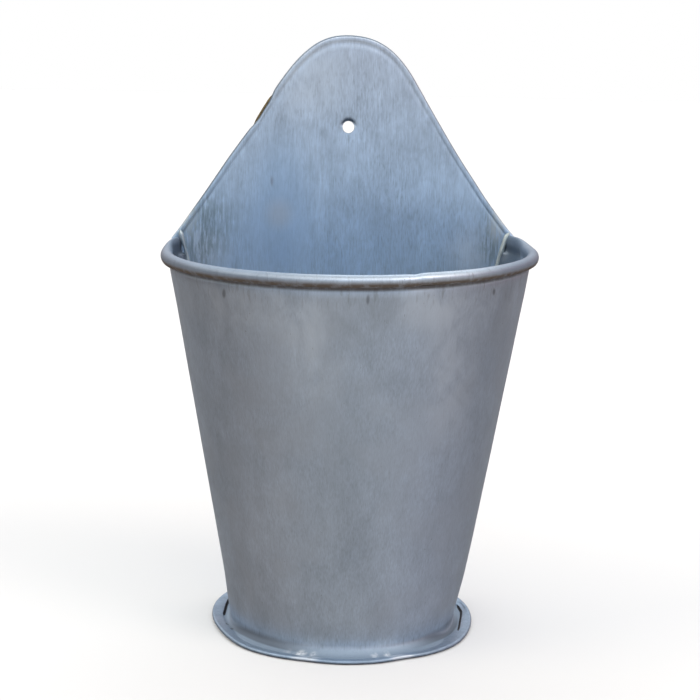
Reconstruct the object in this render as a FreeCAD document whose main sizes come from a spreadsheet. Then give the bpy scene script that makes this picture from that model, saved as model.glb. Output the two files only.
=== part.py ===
import FreeCAD, Part
import math
import os
import Sketcher

# Half-round wall planter of galvanised sheet.
# +X right, +Y towards the wall, +Z up, millimetres.
# Origin: middle of the footprint box, on the surface that the foot rests on.

V = FreeCAD.Vector
doc = FreeCAD.newDocument("wall_planter")

# ---------------------------------------------------------------- sizes
SIZES = [
    ("gauge", 0.6, "thickness of the galvanised sheet"),
    ("fit_gap", 0.05, "play between folded layers"),
    ("axis_dist", 34.5, "cone axis in front of the back plate's front face"),
    ("body_low_rad", 57.7, "outside radius of the wall just above the foot bend"),
    ("body_low_z", 3.1, "height where the foot bend meets the wall"),
    ("body_high_rad", 90.0, "outside radius of the wall just under the rolled rim"),
    ("body_high_z", 188.3, "height of that radius"),
    ("neck_z", 185.5, "height where the wall starts to tuck in under the rim"),
    ("rim_z", 191.3, "height of the rolled rim's middle"),
    ("rim_rad", 91.0, "radius of the rolled rim's middle line"),
    ("rim_roll", 2.95, "outside radius of the roll"),
    ("rim_wire_rad", 2.25, "radius of the rim wire"),
    ("rim_wire_turn", 222.0, "degrees that the rim wire runs round"),
    ("foot_rad", 67.5, "outside radius of the foot"),
    ("foot_hem", 6.0, "width of the base's edge folded over the flare"),
    ("flare_play", 0.3, "flare edge short of the hem's inside"),
    ("foot_bend", 1.85, "outside radius of the bend from wall to flare"),
    ("flange_low_z", 2.1, "lower end of the side seams"),
    ("flange_high_z", 184.5, "upper end of the side seams"),
    ("side_flange", 4.4, "width of the shell's side flange"),
    ("side_hem", 3.0, "width of the plate's edge folded over the flange"),
    ("plate_top_z", 298.2, "top of the arch"),
    ("crown_rad", 33.0, "radius of the arch at the top"),
    ("corner_x", 88.6, "half width of the arch where it meets the rim"),
    ("corner_z", 196.1, "height of that corner"),
    ("edge_band", 7.0, "width of the swaged and rolled edge of the arch"),
    ("edge_roll", 1.9, "outside radius of the arch's rolled edge"),
    ("edge_back", 3.0, "how far the rolled edge stands behind the plate's front"),
    ("edge_wire_rad", 1.2, "radius of the wire in the arch's edge"),
    ("swage_deep", 0.85, "depth of the swage line inside the rolled edge"),
    ("swage_in", 5.0, "distance of the swage line from the edge"),
    ("hang_x", 0.8, "hanging hole, off the middle by hand"),
    ("hang_z", 252.0, "height of the hanging hole"),
    ("hang_rad", 3.1, "radius of the hanging hole"),
    ("upstand", 6.6, "top of the base's turned-up rear edge"),
    ("upstand_half", 43.5, "half width of that edge"),
    ("solder_wide", 2.4, "width of a corner solder run"),
    ("solder_deep", 1.6, "depth of a corner solder run"),
    ("solder_low_z", 7.0, "lower end of the corner solder runs"),
]

sheet = doc.addObject("Spreadsheet::Sheet", "Dims")
for row, (name, value, note) in enumerate(SIZES, start=1):
    sheet.set("A%d" % row, name)
    sheet.set("B%d" % row, "%g" % value)
    sheet.set("C%d" % row, note)
    sheet.setAlias("B%d" % row, name)
doc.recompute()


class Size:
    """A length with its value and the same length written as a sheet formula."""

    def __init__(self, value, text):
        self.value = float(value)
        self.text = text

    @staticmethod
    def of(other):
        return other if isinstance(other, Size) else Size(other, "%.6f" % other)

    def __add__(self, other):
        other = Size.of(other)
        return Size(self.value + other.value, "(%s + %s)" % (self.text, other.text))

    __radd__ = __add__

    def __sub__(self, other):
        other = Size.of(other)
        return Size(self.value - other.value, "(%s - %s)" % (self.text, other.text))

    def __rsub__(self, other):
        return Size.of(other) - self

    def __mul__(self, other):
        other = Size.of(other)
        return Size(self.value * other.value, "(%s * %s)" % (self.text, other.text))

    __rmul__ = __mul__

    def __truediv__(self, other):
        other = Size.of(other)
        return Size(self.value / other.value, "(%s / %s)" % (self.text, other.text))

    def __neg__(self):
        return Size(-self.value, "(0 - %s)" % self.text)

    def root(self):
        return Size(math.sqrt(self.value), "sqrt(%s)" % self.text)


D = {name: Size(sheet.get(name), "Dims.%s" % name) for name, value, note in SIZES}

# y of the back plate's front face and of the cone's axis in the part's frame
plate_y = (D["axis_dist"] + D["rim_rad"] + D["rim_roll"] - D["edge_back"]) / 2
axis_y = plate_y - D["axis_dist"]

slope = (D["body_high_rad"] - D["body_low_rad"]) / (D["body_high_z"] - D["body_low_z"])
lean = math.sqrt(1 + slope.value ** 2)


def wall_rad(z):
    """Outside radius of the wall at height z."""
    return D["body_low_rad"] + slope * (z - D["body_low_z"])


def corner_half(z, inset=0.0):
    """Half width where the wall, inset by that much, meets the back plate."""
    r = wall_rad(z) - inset
    return (r * r - D["axis_dist"] * D["axis_dist"]).root()


# ---------------------------------------------------------------- helpers
def new_body(label, y, turn=0.0):
    body = doc.addObject("PartDesign::Body", label + "_body")
    body.Label = label
    if turn:
        body.Placement = FreeCAD.Placement(V(0, 0, 0), FreeCAD.Rotation(V(0, 0, 1), turn))
    body.setExpression("Placement.Base.y", y.text)
    return body


def plane(body, role):
    return [f for f in body.Origin.OriginFeatures if f.Role == role][0]


def new_sketch(body, name, role, offset=None):
    sketch = body.newObject("Sketcher::SketchObject", name)
    sketch.AttachmentSupport = [(plane(body, role), "")]
    sketch.MapMode = "FlatFace"
    if offset is not None:
        sketch.setExpression("AttachmentOffset.Base.z", offset.text)
    return sketch


def fix_point(sketch, geo, pos, x, y):
    """Hold a sketch point at the sheet's lengths x, y."""
    for axis, size, line in (("DistanceX", x, -2), ("DistanceY", y, -1)):
        size = Size.of(size)
        if abs(size.value) < 1e-9:
            sketch.addConstraint(Sketcher.Constraint("PointOnObject", geo, pos, line))
        else:
            n = sketch.addConstraint(Sketcher.Constraint(axis, geo, pos, size.value))
            sketch.setExpression("Constraints[%d]" % n, size.text)


def num(p):
    return V(Size.of(p[0]).value, Size.of(p[1]).value, 0)


def outline(sketch, path, closed=True):
    """path: start point, then ("line", end) or ("arc", middle, end)."""
    here = path[0]
    ends = []
    steps = path[1:]
    for step in steps:
        there = step[-1]
        if step[0] == "line":
            geo = sketch.addGeometry(Part.LineSegment(num(here), num(there)), False)
            ends.append((geo, 1, 2))
        else:
            a, m, b = num(here), num(step[1]), num(there)
            geo = sketch.addGeometry(Part.Arc(a, m, b), False)
            ccw = (m - a).cross(b - m).z > 0
            ends.append((geo, 1, 2) if ccw else (geo, 2, 1))
            mark = sketch.addGeometry(Part.Point(m), True)
            fix_point(sketch, mark, 1, step[1][0], step[1][1])
            sketch.addConstraint(Sketcher.Constraint("PointOnObject", mark, 1, geo))
        fix_point(sketch, ends[-1][0], ends[-1][1], here[0], here[1])
        here = there
    for i in range(len(ends) - (0 if closed else 1)):
        a, b = ends[i], ends[(i + 1) % len(ends)]
        sketch.addConstraint(Sketcher.Constraint("Coincident", a[0], a[2], b[0], b[1]))
    if not closed:
        fix_point(sketch, ends[-1][0], ends[-1][2], here[0], here[1])
    return ends


def pad(body, name, sketch, length, back=False):
    f = body.newObject("PartDesign::Pad", name)
    f.Profile = sketch
    f.Length = length.value
    f.setExpression("Length", length.text)
    f.Reversed = back
    return f


def cut_through(body, name, sketch):
    """Pocket through everything, both ways; returns the volume removed."""
    doc.recompute()
    before = body.Shape.Volume
    f = body.newObject("PartDesign::Pocket", name)
    f.Profile = sketch
    f.Type = "ThroughAll"
    f.Midplane = True
    doc.recompute()
    removed = before - body.Shape.Volume
    print("%s removed %.2f mm3" % (name, removed))
    if removed < 1e-3:
        raise RuntimeError(name + " cuts nothing")
    return f


def revolve(body, name, sketch, degrees=None):
    f = body.newObject("PartDesign::Revolution", name)
    f.Profile = sketch
    f.ReferenceAxis = (sketch, ["V_Axis"])
    if degrees is None:
        f.Angle = 360
    else:
        f.Angle = degrees.value
        f.setExpression("Angle", degrees.text)
        f.Midplane = True
    return f


def cut_behind(body, name, back):
    """Remove everything behind the plane y = back (body's frame)."""
    s = new_sketch(body, name + "_sketch", "XY_Plane")
    far = D["foot_rad"] * 3
    outline(s, [(-far, back), ("line", (far, back)), ("line", (far, far)),
                ("line", (-far, far)), ("line", (-far, back))])
    return cut_through(body, name, s)


def circle_point(cx, cy, r, degrees):
    a = math.radians(degrees)
    return (cx + r * math.cos(a), cy + r * math.sin(a))


gauge = D["gauge"]
gap = D["fit_gap"]
flare_low = gauge + gap
flare_top = flare_low + gauge
hem_low = flare_top + gap
hem_top = hem_low + gauge

# ---------------------------------------------------------------- front shell
# One sheet: a half-round taper, flared out flat at the foot, its upper edge
# rolled outwards round the rim wire, its two side edges turned out as flanges.
shell = new_body("front_shell", axis_y)
s = new_sketch(shell, "shell_profile", "XZ_Plane")
t_across = gauge * lean
rx, rz, ro, ri = D["rim_rad"], D["rim_z"], D["rim_roll"], D["rim_roll"] - gauge
bx, bz = D["body_low_rad"] + D["foot_bend"], D["body_low_z"]
flare_out = D["foot_rad"] - gauge - D["flare_play"]
start_deg, end_deg = 188.6, -125.0


def roll_arc(radius, a0, a1):
    return ("arc", circle_point(rx, rz, radius, (a0 + a1) / 2), circle_point(rx, rz, radius, a1))


neck_out = (wall_rad(D["neck_z"]), D["neck_z"])
neck_in = (wall_rad(D["neck_z"]) - t_across, D["neck_z"])
outline(s, [
    (flare_out, flare_low),
    ("line", (bx, flare_low)),
    ("arc", circle_point(bx, bz, bz - flare_low, 225.0), (D["body_low_rad"] - t_across, bz)),
    ("line", neck_in),
    ("line", circle_point(rx, rz, ro, start_deg)),
    roll_arc(ro, start_deg, 45.0),
    roll_arc(ro, 45.0, end_deg),
    ("line", circle_point(rx, rz, ri, end_deg)),
    roll_arc(ri, end_deg, 45.0),
    roll_arc(ri, 45.0, start_deg),
    ("line", neck_out),
    ("line", (D["body_low_rad"], bz)),
    ("arc", circle_point(bx, bz, bz - flare_top, 225.0), (bx, flare_top)),
    ("line", (flare_out, flare_top)),
    ("line", (flare_out, flare_low)),
])
revolve(shell, "shell_turn", s)
cut_behind(shell, "shell_open_back", D["axis_dist"])


def side_strip(body, name, inner, outer, low, high, offset, thick, back=False):
    """A thin strip that follows the tapered side seam, on each side."""
    middle = (low + high) / 2
    sk = new_sketch(body, name + "_sketch", "XZ_Plane", offset)
    for side in (1.0, -1.0):
        outline(sk, [
            (inner(low) * side, low),
            ("line", (outer(low) * side, low)),
            ("arc", (outer(middle) * side, middle), (outer(high) * side, high)),
            ("line", (inner(high) * side, high)),
            ("arc", (inner(middle) * side, middle), (inner(low) * side, low)),
        ])
    return pad(body, name, sk, thick, back)


low, high = D["flange_low_z"], D["flange_high_z"]
side_strip(shell, "side_flanges",
           lambda z: corner_half(z) - 0.15,
           lambda z: corner_half(z) + D["side_flange"],
           low, high, -D["axis_dist"], gauge)

# ---------------------------------------------------------------- rim wire
wire = new_body("rim_wire", axis_y, -90.0)
s = new_sketch(wire, "rim_wire_section", "XZ_Plane")
g = s.addGeometry(Part.Circle(V(rx.value, rz.value, 0), V(0, 0, 1), D["rim_wire_rad"].value), False)
fix_point(s, g, 3, rx, rz)
n = s.addConstraint(Sketcher.Constraint("Radius", g, D["rim_wire_rad"].value))
s.setExpression("Constraints[%d]" % n, D["rim_wire_rad"].text)
revolve(wire, "rim_wire_turn", s, D["rim_wire_turn"])

# ---------------------------------------------------------------- back plate
# One sheet: flat against the wall, arched above the rim. The arch's edge is
# swaged and rolled back round a wire; below the rim the side edges are folded
# forward over the shell's flanges.
plate = new_body("back_plate", plate_y)
plate_side = lambda z: corner_half(z) + D["side_flange"] + gap + gauge
seam_top = D["flange_high_z"]
crown_z = D["plate_top_z"] - D["crown_rad"]

# The straight edge of the arch is tangent to the crown and ends at the corner.
dx, dz = D["corner_x"].value, D["corner_z"].value - crown_z.value
reach = math.hypot(dx, dz)
touch = math.atan2(dz, dx) + math.acos(D["crown_rad"].value / reach)


def arch_touch(inset):
    """Where the straight edge, moved inwards, touches the crown."""
    r = D["crown_rad"] - inset
    return (r * math.cos(touch), crown_z + r * math.sin(touch))


def arch_corner(inset):
    return (D["corner_x"] - inset * math.cos(touch), D["corner_z"] - inset * math.sin(touch))


def crown_mid(inset):
    r = D["crown_rad"] - inset
    a = (math.pi / 2 + touch) / 2
    return (r * math.cos(a), crown_z + r * math.sin(a))


def left(p):
    return (-Size.of(p[0]), p[1])


band = D["edge_band"]
s = new_sketch(plate, "plate_outline", "XZ_Plane")
middle = (low + high) / 2
outline(s, [
    (-plate_side(low), 0.0),
    ("line", (plate_side(low), 0.0)),
    ("line", (plate_side(low), low)),
    ("arc", (plate_side(middle), middle), (plate_side(seam_top), seam_top)),
    ("line", (D["corner_x"] + 0.4, D["rim_z"])),
    ("line", arch_corner(Size.of(0.6))),
    ("line", arch_corner(band)),
    ("line", arch_touch(band)),
    ("arc", (0.0, D["plate_top_z"] - band), left(arch_touch(band))),
    ("line", left(arch_corner(band))),
    ("line", left(arch_corner(Size.of(0.6)))),
    ("line", (-(D["corner_x"] + 0.4), D["rim_z"])),
    ("line", (-plate_side(seam_top), seam_top)),
    ("arc", (-plate_side(middle), middle), (-plate_side(low), low)),
    ("line", (-plate_side(low), 0.0)),
])
pad(plate, "plate_sheet", s, gauge, True)

# side seams: an outer wall, then the lip that lies over the shell's flange
side_strip(plate, "seam_wall",
           lambda z: plate_side(z) - gauge, plate_side,
           low, high, Size.of(0), gauge * 2 + gap)
side_strip(plate, "seam_lip",
           lambda z: plate_side(z) - D["side_hem"], plate_side,
           low, high, gauge + gap, gauge)

# rolled and swaged edge of the arch, from the apex down to the corner
spine = new_sketch(plate, "arch_line", "XZ_Plane")
outline(spine, [
    (0.0, D["plate_top_z"]),
    ("arc", crown_mid(Size.of(0)), arch_touch(Size.of(0))),
    ("line", arch_corner(Size.of(0))),
], closed=False)
cy, cz = D["edge_back"] - D["edge_roll"], D["plate_top_z"] - D["edge_roll"]
er, ei = D["edge_roll"], D["edge_roll"] - gauge
top = D["plate_top_z"]


def edge_arc(radius, a0, a1):
    return ("arc", circle_point(cy, cz, radius, (a0 + a1) / 2), circle_point(cy, cz, radius, a1))


s = new_sketch(plate, "edge_section", "YZ_Plane")
outline(s, [
    (0.0, top - band - 0.3),
    ("line", (0.0, top - band)),
    ("line", (D["swage_deep"], top - D["swage_in"])),
    ("line", circle_point(cy, cz, er, 213.0)),
    edge_arc(er, 213.0, 60.0),
    edge_arc(er, 60.0, -90.0),
    ("line", circle_point(cy, cz, ei, -90.0)),
    edge_arc(ei, -90.0, 60.0),
    edge_arc(ei, 60.0, 213.0),
    ("line", (D["swage_deep"] + gauge * 1.128, top - D["swage_in"] + gauge * 0.1)),
    ("line", (gauge, top - band - gauge * 0.2)),
    ("line", (gauge, top - band - 0.3)),
    ("line", (0.0, top - band - 0.3)),
])
edge = plate.newObject("PartDesign::AdditivePipe", "edge_roll_right")
edge.Profile = s
edge.Spine = (spine, ["Edge1", "Edge2"])
edge.Mode = "Standard"
doc.recompute()
mirror = plate.newObject("PartDesign::Mirrored", "edge_roll_left")
mirror.Originals = [edge]
mirror.MirrorPlane = (plane(plate, "YZ_Plane"), [""])
plate.Tip = mirror
doc.recompute()

# hanging hole
s = new_sketch(plate, "hang_hole_sketch", "XZ_Plane")
g = s.addGeometry(Part.Circle(V(D["hang_x"].value, D["hang_z"].value, 0), V(0, 0, 1), D["hang_rad"].value), False)
fix_point(s, g, 3, D["hang_x"], D["hang_z"])
n = s.addConstraint(Sketcher.Constraint("Radius", g, D["hang_rad"].value))
s.setExpression("Constraints[%d]" % n, D["hang_rad"].text)
cut_through(plate, "hang_hole", s)

# ---------------------------------------------------------------- arch wire
arch_wire = new_body("back_edge_wire", plate_y)
inset = D["edge_roll"]
spine = new_sketch(arch_wire, "arch_wire_line", "XZ_Plane", -cy)
outline(spine, [
    (0.0, top - inset),
    ("arc", crown_mid(inset), arch_touch(inset)),
    ("line", arch_corner(inset)),
], closed=False)
s = new_sketch(arch_wire, "arch_wire_section", "YZ_Plane")
g = s.addGeometry(Part.Circle(V(cy.value, cz.value, 0), V(0, 0, 1), D["edge_wire_rad"].value), False)
fix_point(s, g, 3, cy, cz)
n = s.addConstraint(Sketcher.Constraint("Radius", g, D["edge_wire_rad"].value))
s.setExpression("Constraints[%d]" % n, D["edge_wire_rad"].text)
half = arch_wire.newObject("PartDesign::AdditivePipe", "arch_wire_right")
half.Profile = s
half.Spine = (spine, ["Edge1", "Edge2"])
half.Mode = "Standard"
doc.recompute()
mirror = arch_wire.newObject("PartDesign::Mirrored", "arch_wire_left")
mirror.Originals = [half]
mirror.MirrorPlane = (plane(arch_wire, "YZ_Plane"), [""])
arch_wire.Tip = mirror

# ---------------------------------------------------------------- base plate
# One sheet: the flat bottom, its round edge folded up and over the flare, its
# straight rear edge turned up inside against the back plate.
base = new_body("base_plate", axis_y)
s = new_sketch(base, "base_profile", "XZ_Plane")
fr = D["foot_rad"]
outline(s, [
    (0.0, 0.0),
    ("line", (fr, 0.0)),
    ("line", (fr, hem_top)),
    ("line", (fr - D["foot_hem"], hem_top)),
    ("line", (fr - D["foot_hem"], hem_low)),
    ("line", (fr - gauge, hem_low)),
    ("line", (fr - gauge, gauge)),
    ("line", (0.0, gauge)),
    ("line", (0.0, 0.0)),
])
revolve(base, "base_turn", s)
cut_behind(base, "base_open_back", D["axis_dist"])
s = new_sketch(base, "upstand_sketch", "XZ_Plane", -D["axis_dist"])
uh = D["upstand_half"]
outline(s, [
    (-uh, gauge / 2),
    ("line", (uh, gauge / 2)),
    ("line", (uh, D["upstand"])),
    ("line", (-uh, D["upstand"])),
    ("line", (-uh, gauge / 2)),
])
pad(base, "rear_upstand", s, gauge)

# ---------------------------------------------------------------- solder runs
def corner_run(label, side):
    """Solder laid in the inside corner between the shell and the back plate."""
    body = new_body(label, axis_y)
    sk = new_sketch(body, label + "_profile", "XZ_Plane")
    inside = lambda z: wall_rad(z) - t_across - 0.02
    z0, z1 = D["solder_low_z"], D["neck_z"]
    w = D["solder_wide"]
    outline(sk, [
        (inside(z0) - w, z0),
        ("line", (inside(z0), z0)),
        ("line", (inside(z1), z1)),
        ("line", (inside(z1) - w, z1)),
        ("line", (inside(z0) - w, z0)),
    ])
    revolve(body, label + "_turn", sk)
    cut_behind(body, label + "_rear", D["axis_dist"])
    sk = new_sketch(body, label + "_front_sketch", "XY_Plane")
    far = D["foot_rad"] * 3
    front = D["axis_dist"] - D["solder_deep"]
    outline(sk, [
        (-far, -far), ("line", (far, -far)), ("line", (far, front)),
        ("line", (-far, front)), ("line", (-far, -far)),
    ])
    cut_through(body, label + "_front", sk)
    sk = new_sketch(body, label + "_side_sketch", "XY_Plane")
    outline(sk, [
        (0.0, -far), ("line", (far * -side, -far)), ("line", (far * -side, far)),
        ("line", (0.0, far)), ("line", (0.0, -far)),
    ])
    cut_through(body, label + "_side", sk)
    return body


left_run = corner_run("corner_solder_left", -1.0)
right_run = corner_run("corner_solder_right", 1.0)

# solder fillet round the bottom, between the wall and the base
base_run = new_body("base_solder", axis_y)
s = new_sketch(base_run, "base_solder_profile", "XZ_Plane")
bl = D["body_low_rad"]
outline(s, [
    (bl - 3.1, gauge + 0.02),
    ("line", (bl + 0.5, gauge + 0.02)),
    ("line", (bl - 0.1, gauge + 0.7)),
    ("line", (bl - 0.52, gauge + 1.6)),
    ("line", (bl - 0.68, D["body_low_z"] + 0.3)),
    ("line", (bl - 3.1, gauge + 0.02)),
])
revolve(base_run, "base_solder_turn", s)
cut_behind(base_run, "base_solder_rear", D["axis_dist"] - gauge - 0.3)

doc.recompute()

# ---------------------------------------------------------------- write
bodies = [shell, wire, plate, arch_wire, base, left_run, right_run, base_run]
for obj in doc.Objects:
    bad = [word for word in obj.State if word in ("Invalid", "Error")]
    if bad:
        raise RuntimeError("%s is %s" % (obj.Name, bad))
os.makedirs("parts", exist_ok=True)
for body in bodies:
    shape = body.Shape
    if shape.isNull() or not shape.isValid() or not shape.Solids:
        raise RuntimeError(body.Label + " has no valid solid")
    box = shape.BoundBox
    print("%-20s solids %d  volume %9.1f  x %.2f %.2f  y %.2f %.2f  z %.2f %.2f" % (
        body.Label, len(shape.Solids), shape.Volume,
        box.XMin, box.XMax, box.YMin, box.YMax, box.ZMin, box.ZMax))
    shape.exportStep("parts/%s.step" % body.Label)
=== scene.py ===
import math

import bmesh
import bpy
import numpy as np
from mathutils import Matrix, Vector, geometry, noise


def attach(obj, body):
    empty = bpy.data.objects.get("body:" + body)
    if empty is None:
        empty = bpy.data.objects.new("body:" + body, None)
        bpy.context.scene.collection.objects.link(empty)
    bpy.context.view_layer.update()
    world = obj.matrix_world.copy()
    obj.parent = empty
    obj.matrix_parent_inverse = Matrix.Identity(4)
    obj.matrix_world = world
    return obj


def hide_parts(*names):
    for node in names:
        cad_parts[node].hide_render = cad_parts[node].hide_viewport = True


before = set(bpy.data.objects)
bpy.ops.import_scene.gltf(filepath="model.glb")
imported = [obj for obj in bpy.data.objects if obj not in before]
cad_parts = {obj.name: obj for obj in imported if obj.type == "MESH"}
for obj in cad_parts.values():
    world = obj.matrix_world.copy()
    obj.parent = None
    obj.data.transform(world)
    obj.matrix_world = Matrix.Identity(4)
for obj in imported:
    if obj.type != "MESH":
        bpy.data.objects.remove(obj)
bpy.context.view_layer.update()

MM = 0.001

# ------------------------------------------------------------------ sizes, mm
# The same lengths as the solid model: +X right, +Y towards the wall, +Z up.
PLATE_Y = 62.725      # front face of the back plate
AXIS_Y = 28.225       # axis of the taper
AX = 34.5             # axis to plate
GAUGE = 0.6
R_LOW, Z_LOW = 57.7, 3.1
R_HIGH, Z_HIGH = 90.0, 188.3
SLOPE = (R_HIGH - R_LOW) / (Z_HIGH - Z_LOW)
RIM_R, RIM_Z, RIM_ROLL = 91.0, 191.3, 2.95
FOOT_R = 67.5
HOLE = (0.82, 251.8)
HOLE_R = 3.1


def wall(z):
    return R_LOW + SLOPE * (z - Z_LOW)


def smooth(a, b, x):
    t = np.clip((np.asarray(x, float) - a) / (b - a), 0, 1)
    return t * t * (3 - 2 * t)


def wave(x, y, z, scale, seed):
    """Smooth noise from -1 to 1 for arrays of points."""
    x, y, z = np.broadcast_arrays(x, y, z)
    out = np.empty(x.size)
    off = Vector((seed * 17.3, seed * 5.1, seed * 9.7))
    for i, (a, b, c) in enumerate(zip(x.ravel(), y.ravel(), z.ravel())):
        out[i] = noise.noise(Vector((a / scale, b / scale, c / scale)) + off)
    return out.reshape(x.shape)


def spline(points, step=None, count=None):
    """Smooth curve through the points, sampled evenly by length."""
    P = np.asarray(points, float)
    ext = np.vstack([2 * P[0] - P[1], P, 2 * P[-1] - P[-2]])
    out = []
    for i in range(1, len(ext) - 2):
        p0, p1, p2, p3 = ext[i - 1:i + 3]
        t0 = 0.0
        t1 = t0 + max(np.linalg.norm(p1 - p0), 1e-6) ** 0.5
        t2 = t1 + max(np.linalg.norm(p2 - p1), 1e-6) ** 0.5
        t3 = t2 + max(np.linalg.norm(p3 - p2), 1e-6) ** 0.5
        t = np.linspace(t1, t2, 24, endpoint=False)[:, None]
        a1 = (t1 - t) / (t1 - t0) * p0 + (t - t0) / (t1 - t0) * p1
        a2 = (t2 - t) / (t2 - t1) * p1 + (t - t1) / (t2 - t1) * p2
        a3 = (t3 - t) / (t3 - t2) * p2 + (t - t2) / (t3 - t2) * p3
        b1 = (t2 - t) / (t2 - t0) * a1 + (t - t0) / (t2 - t0) * a2
        b2 = (t3 - t) / (t3 - t1) * a2 + (t - t1) / (t3 - t1) * a3
        out.append((t2 - t) / (t2 - t1) * b1 + (t - t1) / (t2 - t1) * b2)
    out.append(P[-1:])
    C = np.vstack(out)
    s = np.r_[0, np.cumsum(np.linalg.norm(np.diff(C, axis=0), axis=1))]
    if count is None:
        count = max(2, int(round(s[-1] / step)) + 1)
    u = np.linspace(0, s[-1], count)
    return np.stack([np.interp(u, s, C[:, k]) for k in range(C.shape[1])], 1)


def normals_2d(C):
    t = np.gradient(C, axis=0)
    t /= np.maximum(np.linalg.norm(t, axis=1), 1e-9)[:, None]
    return np.stack([-t[:, 1], t[:, 0]], 1), t


# ------------------------------------------------------------------ mesh tools
class Mesh:
    def __init__(self):
        self.v = []
        self.f = []
        self.n = 0

    def add(self, pts):
        pts = np.asarray(pts, float).reshape(-1, 3)
        self.v.append(pts)
        first = self.n
        self.n += len(pts)
        return np.arange(first, self.n)

    def grid(self, idx, close_u=False, close_v=False):
        nu, nv = idx.shape
        for i in range(nu if close_u else nu - 1):
            for j in range(nv if close_v else nv - 1):
                a, b = idx[i, j], idx[(i + 1) % nu, j]
                c, d = idx[(i + 1) % nu, (j + 1) % nv], idx[i, (j + 1) % nv]
                q = []
                for k in (a, b, c, d):
                    if k not in q:
                        q.append(k)
                if len(q) > 2:
                    self.f.append(q)

    def build(self, name, sharp=38):
        V = np.vstack(self.v) * MM
        mesh = bpy.data.meshes.new(name)
        mesh.from_pydata(V.tolist(), [], [[int(k) for k in f] for f in self.f])
        bm = bmesh.new()
        bm.from_mesh(mesh)
        loose = [v for v in bm.verts if not v.link_faces]
        bmesh.ops.delete(bm, geom=loose, context="VERTS")
        bmesh.ops.recalc_face_normals(bm, faces=bm.faces)
        limit = math.radians(sharp)
        for f in bm.faces:
            f.smooth = True
        open_edges = 0
        for e in bm.edges:
            if len(e.link_faces) != 2:
                open_edges += 1
                continue
            e.smooth = e.calc_face_angle(0) < limit
        bm.to_mesh(mesh)
        bm.free()
        mesh.update()
        obj = bpy.data.objects.new(name, mesh)
        bpy.context.scene.collection.objects.link(obj)
        print("%s: %d verts, %d faces, %d edges not closed" % (
            name, len(mesh.vertices), len(mesh.polygons), open_edges))
        return obj


def ribbon(C, thick, tip=True, root=False):
    """Closed ring of points round a centre line: one face outwards, the round
    tip, the other face back, and the round root if the line is free there."""
    n, t = normals_2d(C)
    h = thick / 2
    a, b = C + n * h, C - n * h
    parts = [a]
    if tip:
        parts.append(np.array([C[-1] + h * (n[-1] * math.cos(q) + t[-1] * math.sin(q))
                               for q in (0.7, 1.57, 2.44)]))
    parts.append(b[::-1])
    if root:
        parts.append(np.array([C[0] + h * (-n[0] * math.cos(q) - t[0] * math.sin(q))
                               for q in (0.7, 1.57, 2.44)]))
    return np.vstack(parts)


def cap(mesh, ring, count, tip=True, root=False):
    """Close a ribbon's end: quads between its two faces, and its round ends."""
    m = count
    extra = 3 if tip else 0
    a = ring[:m]
    b = ring[m + extra:2 * m + extra][::-1]
    for i in range(m - 1):
        mesh.f.append([a[i], a[i + 1], b[i + 1], b[i]])
    if tip:
        mesh.f.append([a[-1], *ring[m:m + 3], b[-1]])
    if root:
        mesh.f.append([b[0], *ring[2 * m + extra:], a[0]])


def inside(poly, pts):
    x, y = pts[:, 0], pts[:, 1]
    hit = np.zeros(len(pts), bool)
    a = poly
    b = np.roll(poly, -1, axis=0)
    for (x0, y0), (x1, y1) in zip(a, b):
        if y0 == y1:
            continue
        c = ((y0 > y) != (y1 > y)) & (x < (x1 - x0) * (y - y0) / (y1 - y0) + x0)
        hit ^= c
    return hit


def fill(loop, holes, spacing, extra=None, seed=1):
    """Even triangles inside a loop, outside the holes. Returns all points
    (loop, holes, then free ones) and the triangles."""
    rng = np.random.RandomState(seed)
    loop = np.asarray(loop)
    lo, hi = loop.min(0), loop.max(0)
    rows = []
    dy = spacing * math.sqrt(3) / 2
    for k, y in enumerate(np.arange(lo[1], hi[1], dy)):
        xs = np.arange(lo[0] + (k % 2) * spacing / 2, hi[0], spacing)
        rows.append(np.stack([xs, np.full_like(xs, y)], 1))
    P = np.vstack(rows)
    P = P + rng.uniform(-0.12, 0.12, P.shape) * spacing
    P = P[inside(loop, P)]
    edge = np.vstack([loop] + [np.asarray(h) for h in holes])
    keep = np.ones(len(P), bool)
    for i in range(0, len(P), 2000):
        d = np.linalg.norm(P[i:i + 2000, None] - edge[None], axis=2).min(1)
        keep[i:i + 2000] = d > spacing * 0.62
    P = P[keep]
    if extra is not None and len(extra):
        d = np.linalg.norm(P[:, None] - extra[None], axis=2).min(1) if len(P) else np.zeros(0)
        P = np.vstack([P[d > spacing * 0.5], extra])
    for h in holes:
        P = P[~inside(np.asarray(h), P)]
    allp = np.vstack([loop] + [np.asarray(h) for h in holes] + [P])
    edges = []
    base = 0
    for ring in [loop] + list(holes):
        m = len(ring)
        edges += [(base + i, base + (i + 1) % m) for i in range(m)]
        base += m
    res = geometry.delaunay_2d_cdt([Vector(p) for p in allp], edges, [], 0, 1e-6)
    back = [o[0] if o else -1 for o in res[3]]
    tris = np.array([[back[i] for i in t] for t in res[2]])
    mid = allp[tris].mean(1)
    ok = inside(loop, mid)
    for h in holes:
        ok &= ~inside(np.asarray(h), mid)
    tris = tris[ok & (tris >= 0).all(1)]
    return allp, tris


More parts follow.
